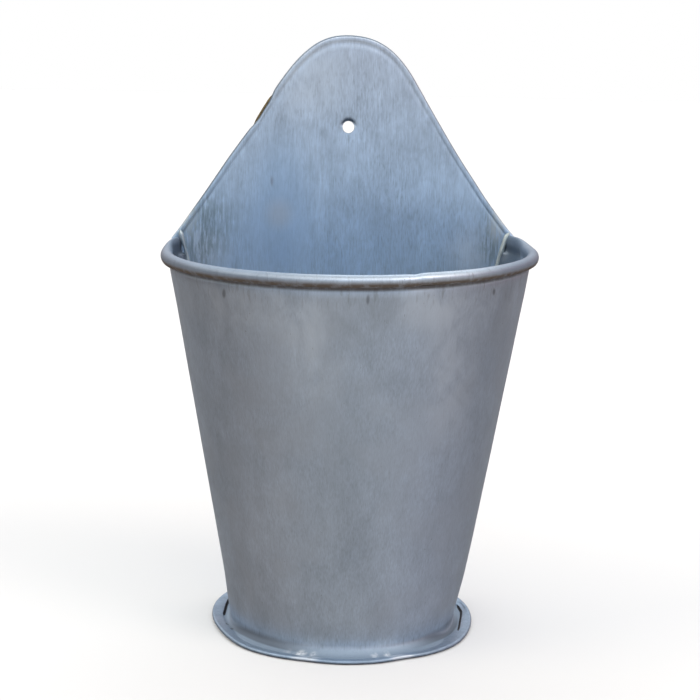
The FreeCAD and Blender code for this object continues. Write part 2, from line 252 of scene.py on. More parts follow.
def foot_warp(r, theta):
    """The foot ring is pressed in a little at the front and curls up at the
    sides: change of radius and of height for its outer part."""
    k = np.clip((r - 60.5) / 7.0, 0, 1)
    a = np.abs(theta)
    dr = -k * (1.0 * np.exp(-(theta / 0.75) ** 2) + 0.7 * np.exp(-((theta + 0.34) / 0.16) ** 2)
               + 0.9 * np.exp(-((theta - 0.40) / 0.15) ** 2)
               + 0.7 * np.exp(-((theta + 1.25) / 0.35) ** 2)
               - 1.0 * np.exp(-((theta + 0.86) / 0.26) ** 2) - 1.3 * np.exp(-((theta - 0.88) / 0.28) ** 2))
    dz = k * ((1.2 * smooth(0.75, 1.5, a) + 0.6 * smooth(1.4, 1.9, a)) * (theta < 0)
              + (0.9 * smooth(0.9, 1.6, a) + 1.0 * smooth(1.3, 1.8, a)) * (theta > 0)
              + 0.35 * np.exp(-((theta - 0.40) / 0.13) ** 2) + 0.2 * np.exp(-((theta + 0.34) / 0.16) ** 2))
    return dr, dz


# ------------------------------------------------------------------ front shell
def rim_lift(x, z):
    """The rim was rolled a little out of level: higher on the right."""
    return 0.0162 * np.asarray(x, float) * smooth(120, 186, z)


def shell_centre(filled=False):
    """Centre line of the shell's sheet, from the flare's edge to the roll's end.
    Filled: the bend as the zinc has filled it, over the closed hem's lip."""
    g = GAUGE / 2
    pts = []
    bx, bz = R_LOW + 1.85, Z_LOW
    br = Z_LOW - 0.65 - g
    if filled:
        for r, z in zip(np.linspace(FOOT_R - 1.0, 63.4, 5), (0.95, 0.97, 1.08, 1.28, 1.50)):
            pts.append((r, z))
        for a in np.linspace(264, 170, 13):
            pts.append((62.25 + 4.3 * math.cos(math.radians(a)), 5.95 + 4.3 * math.sin(math.radians(a))))
    else:
        for r in np.linspace(FOOT_R - 1.0, bx + 0.3, 9):
            pts.append((r, 0.65 + g))
        for a in np.linspace(270, 190, 9):
            pts.append((bx + br * math.cos(math.radians(a)), bz + br * math.sin(math.radians(a))))
    lean = math.hypot(1, SLOPE)
    for k, z in enumerate(np.arange(5.0, 185.0, 2.25)):
        if filled:
            z += max(0.0, 2.2 - 0.45 * k)
        pts.append((wall(z) - g * lean, z))
    rc = RIM_ROLL - g
    neck = (wall(185.5) - g * lean, 185.5)
    start = (RIM_R + rc * math.cos(math.radians(188.6)), RIM_Z + rc * math.sin(math.radians(188.6)))
    for k in np.linspace(0, 1, 6, endpoint=False):
        pts.append((neck[0] + (start[0] - neck[0]) * k, neck[1] + (start[1] - neck[1]) * k))
    for a in np.arange(188.6, -126, -9.0):
        pts.append((RIM_R + rc * math.cos(math.radians(a)), RIM_Z + rc * math.sin(math.radians(a))))
    return np.array(pts)


def dent(theta, centre, half):
    return np.exp(-((theta - centre) / half) ** 2)


def shell_shape(r, z, theta, u, on_roll):
    """Hand-made irregularity of the shell: gentle hollows in the wall, a
    nick in the rolled rim, and the roll hammered flat where it is soldered."""
    x, y = r * np.sin(theta), -r * np.cos(theta)
    mid = smooth(6, 40, z) * (1 - smooth(165, 186, z))
    dr = mid * (0.26 * wave(x, y, z, 60.0, 3) + 0.10 * wave(x, y, z, 26.0, 8))
    dr = dr + (0.06 + 0.08 * on_roll) * wave(theta * 40, 0 * z, z * 0.2, 9.0, 5) * smooth(180, 188, z)
    dz = on_roll * (0.10 * wave(theta * 60, 0 * z, z * 0.05, 16.0, 11))
    low = np.clip((RIM_Z - z) / RIM_ROLL, -1, 1)
    front = np.clip((r - RIM_R) / RIM_ROLL, 0, 1)
    # nick in the rim, right of the middle: the roll is pushed in below its top
    q = 0.262
    k = dent(theta, q, 0.030) * on_roll
    dr = dr - 0.75 * k * front * (0.6 + 0.4 * low)
    dz = dz - 0.30 * k * (1 - low) * 0.5
    k2 = dent(theta, q + 0.055, 0.05) * on_roll
    dr = dr - 0.35 * k2 * np.clip(low, 0, 1)
    dz = dz + 0.25 * k2 * np.clip(low, 0, 1)
    # the roll runs a shade lower on its left than on its right
    dz = dz + on_roll * (0.20 * smooth(q - 0.02, q + 0.02, theta) * (1 - smooth(q + 0.08, q + 0.40, theta))
                         - 0.20 * smooth(q - 0.45, q - 0.05, theta) * (1 - smooth(q - 0.02, q + 0.02, theta)))
    # the roll hangs a little lower towards the sides and blends into the wall
    side = smooth(0.45, 0.75, np.abs(u))
    dz = dz - 0.8 * side * np.clip(low, 0, 1) * smooth(186.2, 188.0, z)
    # the wall leans a little to the right towards the foot
    dr = dr + smooth(6, 30, z) * np.clip((188.0 - z) / 140.0, 0, 1) * (0.68 * np.sin(theta) + 0.10)
    dr = dr + 0.30 * smooth(0.3, 1.2, theta) * smooth(6, 40, z) * (1 - smooth(172, 188, z))
    # both ends flattened from the side and lifted
    end = smooth(0.80, 0.955, np.abs(u)) * smooth(180.5, 189.0, z)
    dr = dr + end * ((RIM_R + 2.5 - r) * 0.56)
    dz = dz + end * ((z - RIM_Z) * 0.22 + 0.9) * smooth(186.0, 190.0, z)
    wr, wz = foot_warp(r, theta)
    foot = z < 2.6
    return dr + wr * foot, dz + wz * foot


def make_shell():
    C = shell_centre()
    ring = ribbon(C, GAUGE, tip=True, root=True)
    ring_full = ribbon(shell_centre(True), GAUGE, tip=True, root=True)
    m = len(C)
    nu = 281
    u = np.linspace(-1, 1, nu)
    u = np.sign(u) * (np.abs(u) ** 1.0)
    R, Z = ring[:, 0][None], ring[:, 1][None]
    end = math.pi / 2 + np.arcsin(AX / R)
    th = u[:, None] * end
    # zinc fills the bend where the hem is closed down on the flare
    shut = smooth(-1.50, -0.95, th) * smooth(1.12, 0.75, th)
    R = R * (1 - shut) + ring_full[:, 0][None] * shut
    Z = Z * (1 - shut) + ring_full[:, 1][None] * shut
    on_roll = smooth(186.0, 189.0, Z) + 0 * th
    dr, dz = shell_shape(R + 0 * th, Z + 0 * th, th, u[:, None] + 0 * th, on_roll)
    hold = 1 - smooth(0.965, 1.0, np.abs(u))[:, None] * (1 - on_roll)
    dr, dz = dr * hold, dz * hold
    r = R + dr
    x = r * np.sin(th)
    yl = -r * np.cos(th)
    yl = np.where(np.abs(u)[:, None] > 0.9999, AX, np.minimum(yl, AX))
    z = Z + dz
    # the flare lift is multiplied by zero, so it adds nothing; only the rim's tilt is added
    flare = (1 - smooth(60.0, 64.0, R)) * 0
    z = z + flare + rim_lift(x, z)
    mesh = Mesh()
    idx = mesh.add(np.stack([x, yl + AXIS_Y, z], -1)).reshape(nu, len(ring))
    mesh.grid(idx, close_v=True)
    cap(mesh, idx[0], m, True, True)
    cap(mesh, idx[-1], m, True, True)
    # side flanges, turned out against the back plate
    for side in (-1, 1):
        zz = np.linspace(2.1, 184.5, 60)
        c = np.sqrt(wall(zz) ** 2 - AX ** 2)
        rows = []
        for z0, c0 in zip(zz, c):
            y0, y1 = PLATE_Y - GAUGE, PLATE_Y
            rows.append([(side * (c0 - 0.15), y0, z0), (side * (c0 + 4.4), y0, z0),
                         (side * (c0 + 4.4), y1, z0), (side * (c0 - 0.15), y1, z0)])
        k = mesh.add(np.array(rows)).reshape(60, 4)
        mesh.grid(k, close_v=True)
        mesh.f.append(list(k[0]))
        mesh.f.append(list(k[-1]))
    return mesh.build("front_shell_sheet")


# ------------------------------------------------------------------ rim wire
def tube(mesh, path, radius, sides=14, squash=None):
    """Round tube with flat ends along a 3-D path."""
    P = np.asarray(path, float)
    T = np.gradient(P, axis=0)
    T /= np.linalg.norm(T, axis=1)[:, None]
    up = np.array([0.0, 0.0, 1.0])
    rings = []
    for i in range(len(P)):
        a = np.cross(T[i], up)
        if np.linalg.norm(a) < 1e-6:
            a = np.array([1.0, 0, 0])
        a /= np.linalg.norm(a)
        b = np.cross(a, T[i])
        rr = radius if np.isscalar(radius) else radius[i]
        q = np.linspace(0, 2 * math.pi, sides, endpoint=False)
        sq = 1.0 if squash is None else squash[i]
        rings.append(P[i] + rr * (sq * np.cos(q)[:, None] * a + np.sin(q)[:, None] * b))
    idx = mesh.add(np.array(rings)).reshape(len(P), sides)
    mesh.grid(idx, close_v=True)
    mesh.f.append(list(idx[0]))
    mesh.f.append(list(idx[-1]))


def make_rim_wire():
    half = math.radians(111)
    th = np.linspace(-half, half, 200)
    x = RIM_R * np.sin(th)
    y = -RIM_R * np.cos(th) + AXIS_Y
    z = RIM_Z + rim_lift(x, np.full_like(x, RIM_Z))
    end = smooth(0.78, 0.93, np.abs(th) / half)
    x, y = x * (1 + 1.35 * end / RIM_R), (y - AXIS_Y) * (1 + 1.35 * end / RIM_R) + AXIS_Y
    z = z + 0.9 * end
    mesh = Mesh()
    tube(mesh, np.stack([x, y, z], 1), 2.0, squash=1 - 0.72 * end)
    return mesh.build("rim_wire_round")


# ------------------------------------------------------------------ back plate
LEFT_EDGE = [(-0.2, 298.2), (-8.6, 297.2), (-15.4, 294.4), (-21.4, 290.0), (-26.6, 284.8),
             (-31.6, 278.6), (-37.7, 269.8), (-43.2, 260.9), (-48.6, 252.0), (-54.4, 243.9),
             (-60.3, 235.6), (-66.3, 226.6), (-72.6, 217.2), (-79.1, 207.8), (-84.9, 199.5),
             (-89.4, 193.6)]
RIGHT_EDGE = [(8.9, 297.3), (15.3, 295.2), (21.6, 291.4), (27.2, 286.1), (32.1, 279.9),
              (37.5, 271.3), (43.1, 262.1), (48.8, 252.9), (54.5, 243.8), (60.6, 234.5),
              (66.9, 225.4), (73.4, 216.0), (80.4, 206.8), (85.6, 200.3), (89.6, 195.9)]


def plate_side(z):
    return np.sqrt(wall(z) ** 2 - AX ** 2) + 4.4 + 0.05 + GAUGE


def roll_centre(k, depth, gone=0.0):
    """Centre line of the arch's swaged and rolled edge: distance in from the
    outline, and distance behind the plate's front face."""
    f = lambda d: 2.4 + (d - 2.4) * k
    pts = [(f(9.6), 0.3), (f(8.4), 0.30), (f(7.0), 0.3 - 0.02 * depth), (f(5.9), 0.3 + 0.04 * depth),
           (f(4.9), 0.3 + 0.15 * depth), (f(4.0), 0.3 + 0.19 * depth), (f(3.1), 0.28 + 0.10 * depth)]
    rolled = pts + [(2.2, 0.17), (1.35, 0.13), (0.62, 0.34), (0.3, 1.2), (0.77, 2.25), (1.9, 2.7), (2.95, 2.35), (3.3, 1.8)]
    if gone <= 0:
        return spline(rolled, count=50)
    # where the roll has rusted away only a short lip is left
    lip = pts + [(2.3, 0.17), (2.05, 0.15), (1.85, 0.16), (1.7, 0.19), (1.55, 0.24), (1.42, 0.30), (1.32, 0.36), (1.22, 0.42)]
    return spline(np.asarray(rolled) * (1 - gone) + np.asarray(lip) * gone, count=50)


def seam_centre():
    """Centre line of the side's edge, folded forward over the shell's flange."""
    pts = [(5.2, 0.3), (3.4, 0.3), (2.0, 0.3)]
    for a in np.linspace(90, -90, 9):
        pts.append((0.93 - 0.63 * math.cos(math.radians(a)), -0.325 + 0.625 * math.sin(math.radians(a))))
    pts += [(1.9, -0.95), (2.9, -0.95)]
    return spline(pts, count=26)


def plate_bulge(x, z):
    """Gentle hollows of the big flat sheet, none where it is soldered."""
    free = smooth(190, 215, z)
    low = smooth(12, 40, z) * (1 - smooth(150, 185, z))
    edge = 1 - smooth(0.72, 0.98, np.abs(x) / np.maximum(np.interp(z, [0, 185, 196, 298], [50, 87, 87, 10]), 1))
    w = 0.55 * wave(x, 0 * x, z, 52.0, 21) + 0.25 * wave(x, 0 * x, z, 23.0, 22)
    return w * (free + low * 0.6) * edge


def hole_dish(x, z):
    """The nail has pushed the upper lip of the punched hole back."""
    dx, dz = x - HOLE[0], z - HOLE[1]
    r = np.hypot(dx, dz)
    up = np.clip(dz / np.maximum(r, 1e-6), 0, 1) ** 0.8
    return (0.15 + 1.05 * up) * np.exp(-((r - HOLE_R) / 1.0) ** 2) + 0.14 * np.exp(-((r - HOLE_R) / 5.0) ** 2)


def make_plate():
    mesh = Mesh()
    # outline stations: (x, z), outward normal, kind
    arch = spline(RIGHT_EDGE[::-1] + LEFT_EDGE, step=1.6)
    nrm, _ = normals_2d(arch)
    if (nrm[len(arch) // 2] @ np.array([0, 1.0])) < 0:
        nrm = -nrm
    s = np.r_[0, np.cumsum(np.linalg.norm(np.diff(arch, axis=0), axis=1))]
    ends = np.minimum(s, s[-1] - s)
    # the line runs from the right corner over the top to the left corner
    q = s[-1] * 0.5 - s                      # arc length to the right of the top
    irr = wave(s, 0 * s, 0 * s, 22.0, 31)
    kk = np.interp(q, [-140, -60, -30, 0, 25, 60, 100, 140], [0.62, 0.66, 0.78, 0.92, 0.78, 0.52, 0.48, 0.42]) + 0.05 * irr
    dep = np.interp(q, [-140, -60, -38, -15, 0, 20, 52, 66, 100, 128, 142],
                    [0.25, 0.45, 0.60, 0.75, 0.90, 0.85, 0.62, 0.55, 0.50, 0.45, 0.25])
    dep = dep * (1 + 0.35 * wave(s, 0 * s, 0 * s, 11.0, 33) + 0.15 * wave(s, 0 * s, 0 * s, 4.0, 34))
    gone = 0.82 * smooth(13.5, 3.0, np.hypot(arch[:, 0] + 43.2, arch[:, 1] - 260.0))
    zz = np.linspace(2.1, 184.5, 76)
    right = np.stack([plate_side(zz), zz], 1)
    nr, _ = normals_2d(right)
    nr = np.where((nr[:, :1] > 0), nr, -nr)
    left = right[::-1] * [-1, 1]
    nl = nr[::-1] * [-1, 1]

    def line(a, b, n):
        t = np.linspace(0, 1, n + 1)[1:-1, None]
        return np.asarray(a) * (1 - t) + np.asarray(b) * t

    def y_of(p):
        # the sheet swells softly forward inside the swaged edge
        d = np.linalg.norm(p[:, None] - arch[None], axis=2)
        near, k = d.min(1), d.argmin(1)
        swell = 0.26 * dep[k] * smooth(21.0, 8.0, near) * smooth(1.5, 5.0, near) * smooth(190, 206, p[:, 1])
        return plate_bulge(p[:, 0], p[:, 1]) + hole_dish(p[:, 0], p[:, 1]) - swell

    bands = []

    def band(P, N, centres):
        """Rows of a folded edge along the outline; returns ring indices."""
        m = len(centres[0])
        rings = []
        inner = np.array([p - n * c[0][0] for p, n, c in zip(P, N, centres)])
        shift = y_of(inner)
        for i, (p, n, c) in enumerate(zip(P, N, centres)):
            rg = ribbon(c, GAUGE, tip=True)
            # open start: the sheet's two faces, square to the sheet
            rg[0] = (c[0][0], 0.0) if rg[0][1] < rg[-1][1] else (c[0][0], GAUGE)
            rg[-1] = (c[0][0], GAUGE) if rg[0][1] < GAUGE / 2 else (c[0][0], 0.0)
            xy = p[None] - n[None] * rg[:, :1]
            fade = smooth(0.0, c[0][0], rg[:, 0])
            rings.append(np.stack([xy[:, 0], PLATE_Y + rg[:, 1] + shift[i] * fade, xy[:, 1]], 1))
        idx = mesh.add(np.array(rings)).reshape(len(P), -1)
        mesh.grid(idx)
        cap(mesh, idx[0], m)
        cap(mesh, idx[-1], m)
        bands.append((idx, inner))
        return idx, inner

    seam_c = seam_centre()
    ir, in_r = band(right, nr, [seam_c] * len(right))
    ia, in_a = band(arch, nrm, [roll_centre(k, d, g) for k, d, g in zip(kk, dep, gone)])
    il, in_l = band(left, nl, [seam_c] * len(left))

    # flat sheet: loop of shared band vertices and plain edges
    loop, shared = [], []

    def push(pts, ids=None):
        for k, p in enumerate(pts):
            loop.append(tuple(p))
            shared.append(None if ids is None else ids[k])

    b0, b1 = (-plate_side(2.1), 0.0), (plate_side(2.1), 0.0)
    ring_ends = lambda idx: [(int(r[0]), int(r[-1])) for r in idx]

    def front_first(idx):
        out = []
        allv = np.vstack(mesh.v)
        for a, b in ring_ends(idx):
            out.append((a, b) if allv[a, 1] < allv[b, 1] else (b, a))
        return out

    push([b0])
    push(line(b0, b1, 40))
    push([b1])
    push([right[0]])
    push(line(right[0], in_r[0], 3))
    push(in_r, front_first(ir))
    push(line(in_r[-1], right[-1], 3))
    push([right[-1]])
    push(line(right[-1], arch[0], 6))
    push([arch[0]])
    push(line(arch[0], in_a[0], 4))
    push(in_a, front_first(ia))
    push(line(in_a[-1], arch[-1], 4))
    push([arch[-1]])
    push(line(arch[-1], left[0], 6))
    push([left[0]])
    push(line(left[0], in_l[0], 3))
    push(in_l, front_first(il))
    push(line(in_l[-1], left[-1], 3))
    push([left[-1]])
    loop = np.array(loop)
    q = np.linspace(0, 2 * math.pi, 48, endpoint=False)
    hole = np.stack([HOLE[0] + HOLE_R * np.cos(q), HOLE[1] + HOLE_R * np.sin(q)], 1)
    extra = []
    for k, rr in enumerate((3.45, 3.9, 4.5, 5.3, 6.3, 7.6, 9.2)):
        n = 48 if k < 5 else 36
        qq = np.linspace(0, 2 * math.pi, n, endpoint=False) + 0.06 * k
        extra.append(np.stack([HOLE[0] + rr * np.cos(qq), HOLE[1] + rr * np.sin(qq)], 1))
    pts, tris = fill(loop, [hole], 2.3, np.vstack(extra))
    push_y = y_of(pts)
    n_loop = len(loop)
    front = np.empty(len(pts), int)
    rear = np.empty(len(pts), int)
    new = [i for i in range(len(pts)) if i >= n_loop or shared[i] is None]
    F = np.stack([pts[new, 0], PLATE_Y + push_y[new], pts[new, 1]], 1)
    Rr = F + [0, GAUGE, 0]
    fi, ri = mesh.add(F), mesh.add(Rr)
    front[new], rear[new] = fi, ri
    for i in range(n_loop):
        if shared[i] is not None:
            front[i], rear[i] = shared[i]
    for t in tris:
        mesh.f.append([front[k] for k in t])
        mesh.f.append([rear[k] for k in t][::-1])
    for i in range(n_loop):
        j = (i + 1) % n_loop
        if shared[i] is not None and shared[j] is not None and abs(i - j) == 1:
            continue
        mesh.f.append([front[i], front[j], rear[j], rear[i]])
    # rounded wall of the hole
    hi = list(range(n_loop, n_loop + 48))
    rows = [[front[k] for k in hi]]
    for d, off in ((0.06, 0.10), (0.16, 0.3), (0.06, 0.5)):
        P = np.stack([HOLE[0] + (HOLE_R - d + 0.06) * np.cos(q) , PLATE_Y + push_y[hi] + off,
                      HOLE[1] + (HOLE_R - d + 0.06) * np.sin(q)], 1)
        rows.append(list(mesh.add(P)))
    rows.append([rear[k] for k in hi])
    mesh.grid(np.array(rows), close_v=True)
    return mesh.build("back_plate_sheet", sharp=50)


def make_arch_wire():
    arch = spline(RIGHT_EDGE[::-1] + LEFT_EDGE, step=2.0)
    nrm, _ = normals_2d(arch)
    if (nrm[len(arch) // 2] @ np.array([0, 1.0])) < 0:
        nrm = -nrm
    # it has sprung out of the roll for a short way on the left slope
    out = smooth(12.0, 5.0, np.hypot(arch[:, 0] + 43.2, arch[:, 1] - 260.0))
    P = arch - nrm * (1.85 - 0.90 * out)[:, None]
    path = np.stack([P[:, 0], PLATE_Y + 1.45 + 0.30 * out, P[:, 1]], 1)[1:-1]
    mesh = Mesh()
    T = np.gradient(path, axis=0)
    T /= np.linalg.norm(T, axis=1)[:, None]
    rings = []
    q = np.linspace(0, 2 * math.pi, 12, endpoint=False)
    for p, t in zip(path, T):
        a = np.cross(t, [0, 1.0, 0])
        a /= np.linalg.norm(a)
        rings.append(p + 0.95 * (np.cos(q)[:, None] * a + np.sin(q)[:, None] * np.array([0, 1.0, 0])))
    idx = mesh.add(np.array(rings)).reshape(len(path), 12)
    mesh.grid(idx, close_v=True)
    mesh.f.append(list(idx[0]))
    mesh.f.append(list(idx[-1]))
    return mesh.build("back_edge_wire_round")


# ------------------------------------------------------------------ base plate
def make_base():
    mesh = Mesh()
    nu = 221
    hem = [(60.2, 0.3), (63.0, 0.3), (65.5, 0.3)]
    for a in np.linspace(-90, 90, 11):
        hem.append((FOOT_R - 0.95 + 0.65 * math.cos(math.radians(a)), 0.95 + 0.65 * math.sin(math.radians(a))))
    hem += [(65.6, 1.6), (63.6, 1.6), (61.6, 1.6)]
    C = spline(hem, count=40)
    m = len(C)
    ring = ribbon(C, GAUGE, tip=True)
    ring[0] = (C[0][0], GAUGE) if ring[0][1] > ring[-1][1] else (C[0][0], 0.0)
    ring[-1] = (C[0][0], 0.0) if ring[0][1] > 0.3 else (C[0][0], GAUGE)
    u = np.linspace(-1, 1, nu)
    R, Z = ring[:, 0][None], ring[:, 1][None]
    end = math.pi / 2 + np.arcsin(AX / R)
    th = u[:, None] * end
    lip = smooth(1.0, 1.35, Z) * smooth(66.4, 62.6, R)
    upper = smooth(0.9, 1.5, Z)
    # the hammered lip waves in and out: closed down at the front, where the
    # zinc has filled it, and gaping in a short slit at each side
    gape_l = smooth(-2.04, -1.92, th) * smooth(-1.52, -1.60, th)
    gape_r = smooth(1.10, 1.20, th) * smooth(1.84, 1.74, th)
    closed = smooth(-1.50, -1.05, th) * smooth(1.12, 0.85, th)
    kink = np.interp(th.ravel(), [1.05, 1.134, 1.274, 1.414, 1.588, 1.763, 1.9], [1.0, 1.9, 0.7, 0.5, 1.9, 2.4, 1.5]).reshape(th.shape)
    slant = np.interp(th.ravel(), [-2.05, -1.955, -1.815, -1.676, -1.553, -1.4], [1.7, 1.6, 0.3, -0.2, 0.5, 0.0]).reshape(th.shape)
    dr = lip * (0.25 * wave(th * 60, 0 * th, 0 * th, 9.0, 41) * (1 - gape_l) * (1 - gape_r)
                + gape_r * kink + gape_l * slant - 0.75 * closed)
    dz = lip * (0.05 * wave(th * 60, 0 * th, 0 * th, 7.0, 43) + 0.30 * (gape_l + gape_r) - 0.15 * closed)
    dz = dz + upper * 0.06 * wave(th * 60, 0 * th, 0 * th, 5.0, 44)
    dr = dr + upper * 0.12 * wave(th * 60, 0 * th, 0 * th, 12.0, 45)
    wr, wz = foot_warp(R + 0 * th, th)
    r = R + dr + wr
    dz = dz + wz
    x = r * np.sin(th)
    yl = np.minimum(-r * np.cos(th), AX)
    yl = np.where(np.abs(u)[:, None] > 0.9999, AX, yl)
    idx = mesh.add(np.stack([x, yl + AXIS_Y, Z + dz], -1)).reshape(nu, len(ring))
    mesh.grid(idx)
    cap(mesh, idx[0], m)
    cap(mesh, idx[-1], m)
    allv = np.vstack(mesh.v)
    top, bot = [], []
    for rg in idx:
        a, b = int(rg[0]), int(rg[-1])
        if allv[a, 2] < allv[b, 2]:
            a, b = b, a
        top.append(a)
        bot.append(b)
    arc = allv[top][:, :2]
    # straight rear edge, turned up inside against the back plate
    n_back = 60
    t = np.linspace(0, 1, n_back + 1)[1:-1, None]
    back = arc[-1] * (1 - t) + arc[0] * t
    loop = np.vstack([arc, back])
    pts, tris = fill(loop, [], 3.0, None, seed=5)
    n_loop = len(loop)
    T = np.empty(len(pts), int)
    Bm = np.empty(len(pts), int)
    T[:nu], Bm[:nu] = top, bot
    new = np.arange(nu, len(pts))
    T[new] = mesh.add(np.stack([pts[new, 0], pts[new, 1], np.full(len(new), GAUGE)], 1))
    Bm[new] = mesh.add(np.stack([pts[new, 0], pts[new, 1], np.zeros(len(new))], 1))
    for tri in tris:
        mesh.f.append([T[k] for k in tri])
        mesh.f.append([Bm[k] for k in tri][::-1])
    for i in range(nu - 1, n_loop):
        j = (i + 1) % n_loop
        mesh.f.append([T[i], T[j], Bm[j], Bm[i]])
    up = []
    for xx in np.linspace(-43.5, 43.5, 40):
        up.append([(xx, PLATE_Y - 0.6, 0.3), (xx, PLATE_Y - 0.02, 0.3), (xx, PLATE_Y - 0.02, 6.4),
                   (xx, PLATE_Y - 0.15, 6.6), (xx, PLATE_Y - 0.45, 6.6), (xx, PLATE_Y - 0.6, 6.4)])
    k = mesh.add(np.array(up)).reshape(40, 6)
    mesh.grid(k, close_v=True)
    mesh.f.append(list(k[0]))
    mesh.f.append(list(k[-1]))
    return mesh.build("base_plate_sheet", sharp=50)


# ------------------------------------------------------------------ solder
def make_corner_solder(name, side):
    """Solder along the inside corner, over the roll's end up to the arch."""
    if side > 0:
        top = [(86.5, 198.7, 0.6), (85.9, 197.9, 1.3), (85.1, 196.4, 1.5), (84.3, 194.6, 1.3), (83.3, 191.2, 1.25)]
    else:
        top = [(85.4, 198.6, 0.5), (84.8, 197.0, 1.0), (84.2, 194.4, 1.25), (83.1, 191.0, 0.9), (82.5, 188.6, 0.75)]
    line = list(top)
    for z in (184.0, 178.0, 170.0, 150.0, 120.0, 90.0, 60.0, 30.0, 9.0):
        c = math.sqrt((wall(z) - GAUGE * 1.015) ** 2 - AX ** 2)
        line.append((c - 0.35, z, 1.15 if side > 0 else 0.95))
    P = spline(line, step=0.8)
    n, _ = normals_2d(P[:, :2])
    s = np.arange(len(P)) * 0.8
    rings = []
    m = 16
    q = np.linspace(0, 2 * math.pi, m, endpoint=False)
    lump = 1 + 0.16 * wave(s, 0 * s, 0 * s, 9.0, 51 + side) + 0.06 * wave(s, 0 * s, 0 * s, 3.0, 53 + side)
    tip = np.minimum(smooth(-0.5, 3.0, s), smooth(-0.5, 3.0, s[-1] - s))
    over = smooth(184.0, 189.0, P[:, 1])     # thicker where it bridges the roll's end
    for i in range(len(P)):
        w = P[i, 2] * lump[i] * (0.25 + 0.75 * tip[i])
        d = (0.75 + 0.75 * over[i]) * lump[i] * (0.2 + 0.8 * tip[i])
        a = np.cos(q) * w
        b = np.sin(q)
        b = np.where(b > 0, b * d, b * 0.12)
        x = (P[i, 0] + n[i, 0] * a) * side
        z = P[i, 1] + n[i, 1] * a
        rings.append(np.stack([x, PLATE_Y - 0.02 - b, z], 1))
    mesh = Mesh()
    idx = mesh.add(np.array(rings)).reshape(len(P), m)
    mesh.grid(idx, close_v=True)
    mesh.f.append(list(idx[0]))
    mesh.f.append(list(idx[-1]))
    return mesh.build(name, sharp=80)


def make_base_solder():
    mesh = Mesh()
    nu = 160
    u = np.linspace(-1, 1, nu)
    prof = np.array([(54.4, 0.62), (57.6, 0.62), (57.35, 1.5), (57.05, 2.4), (56.98, 3.6), (56.7, 3.7),
                     (56.35, 2.6), (55.9, 1.7), (55.2, 1.0)])
    R, Z = prof[:, 0][None], prof[:, 1][None]
    end = math.pi / 2 + np.arcsin((AX - 1.0) / R)
    th = u[:, None] * end
    free = (np.arange(len(prof)) >= 4)[None] | (np.arange(len(prof)) == 0)[None]
    dr = -0.35 * np.abs(wave(th * 50, 0 * th, Z * 2, 5.0, 61)) * free
    r = R + dr
    idx = mesh.add(np.stack([r * np.sin(th), -r * np.cos(th) + AXIS_Y, Z + 0 * th], -1)).reshape(nu, len(prof))
    mesh.grid(idx, close_v=True)
    mesh.f.append(list(idx[0]))
    mesh.f.append(list(idx[-1]))
    return mesh.build("base_solder_fillet", sharp=80)


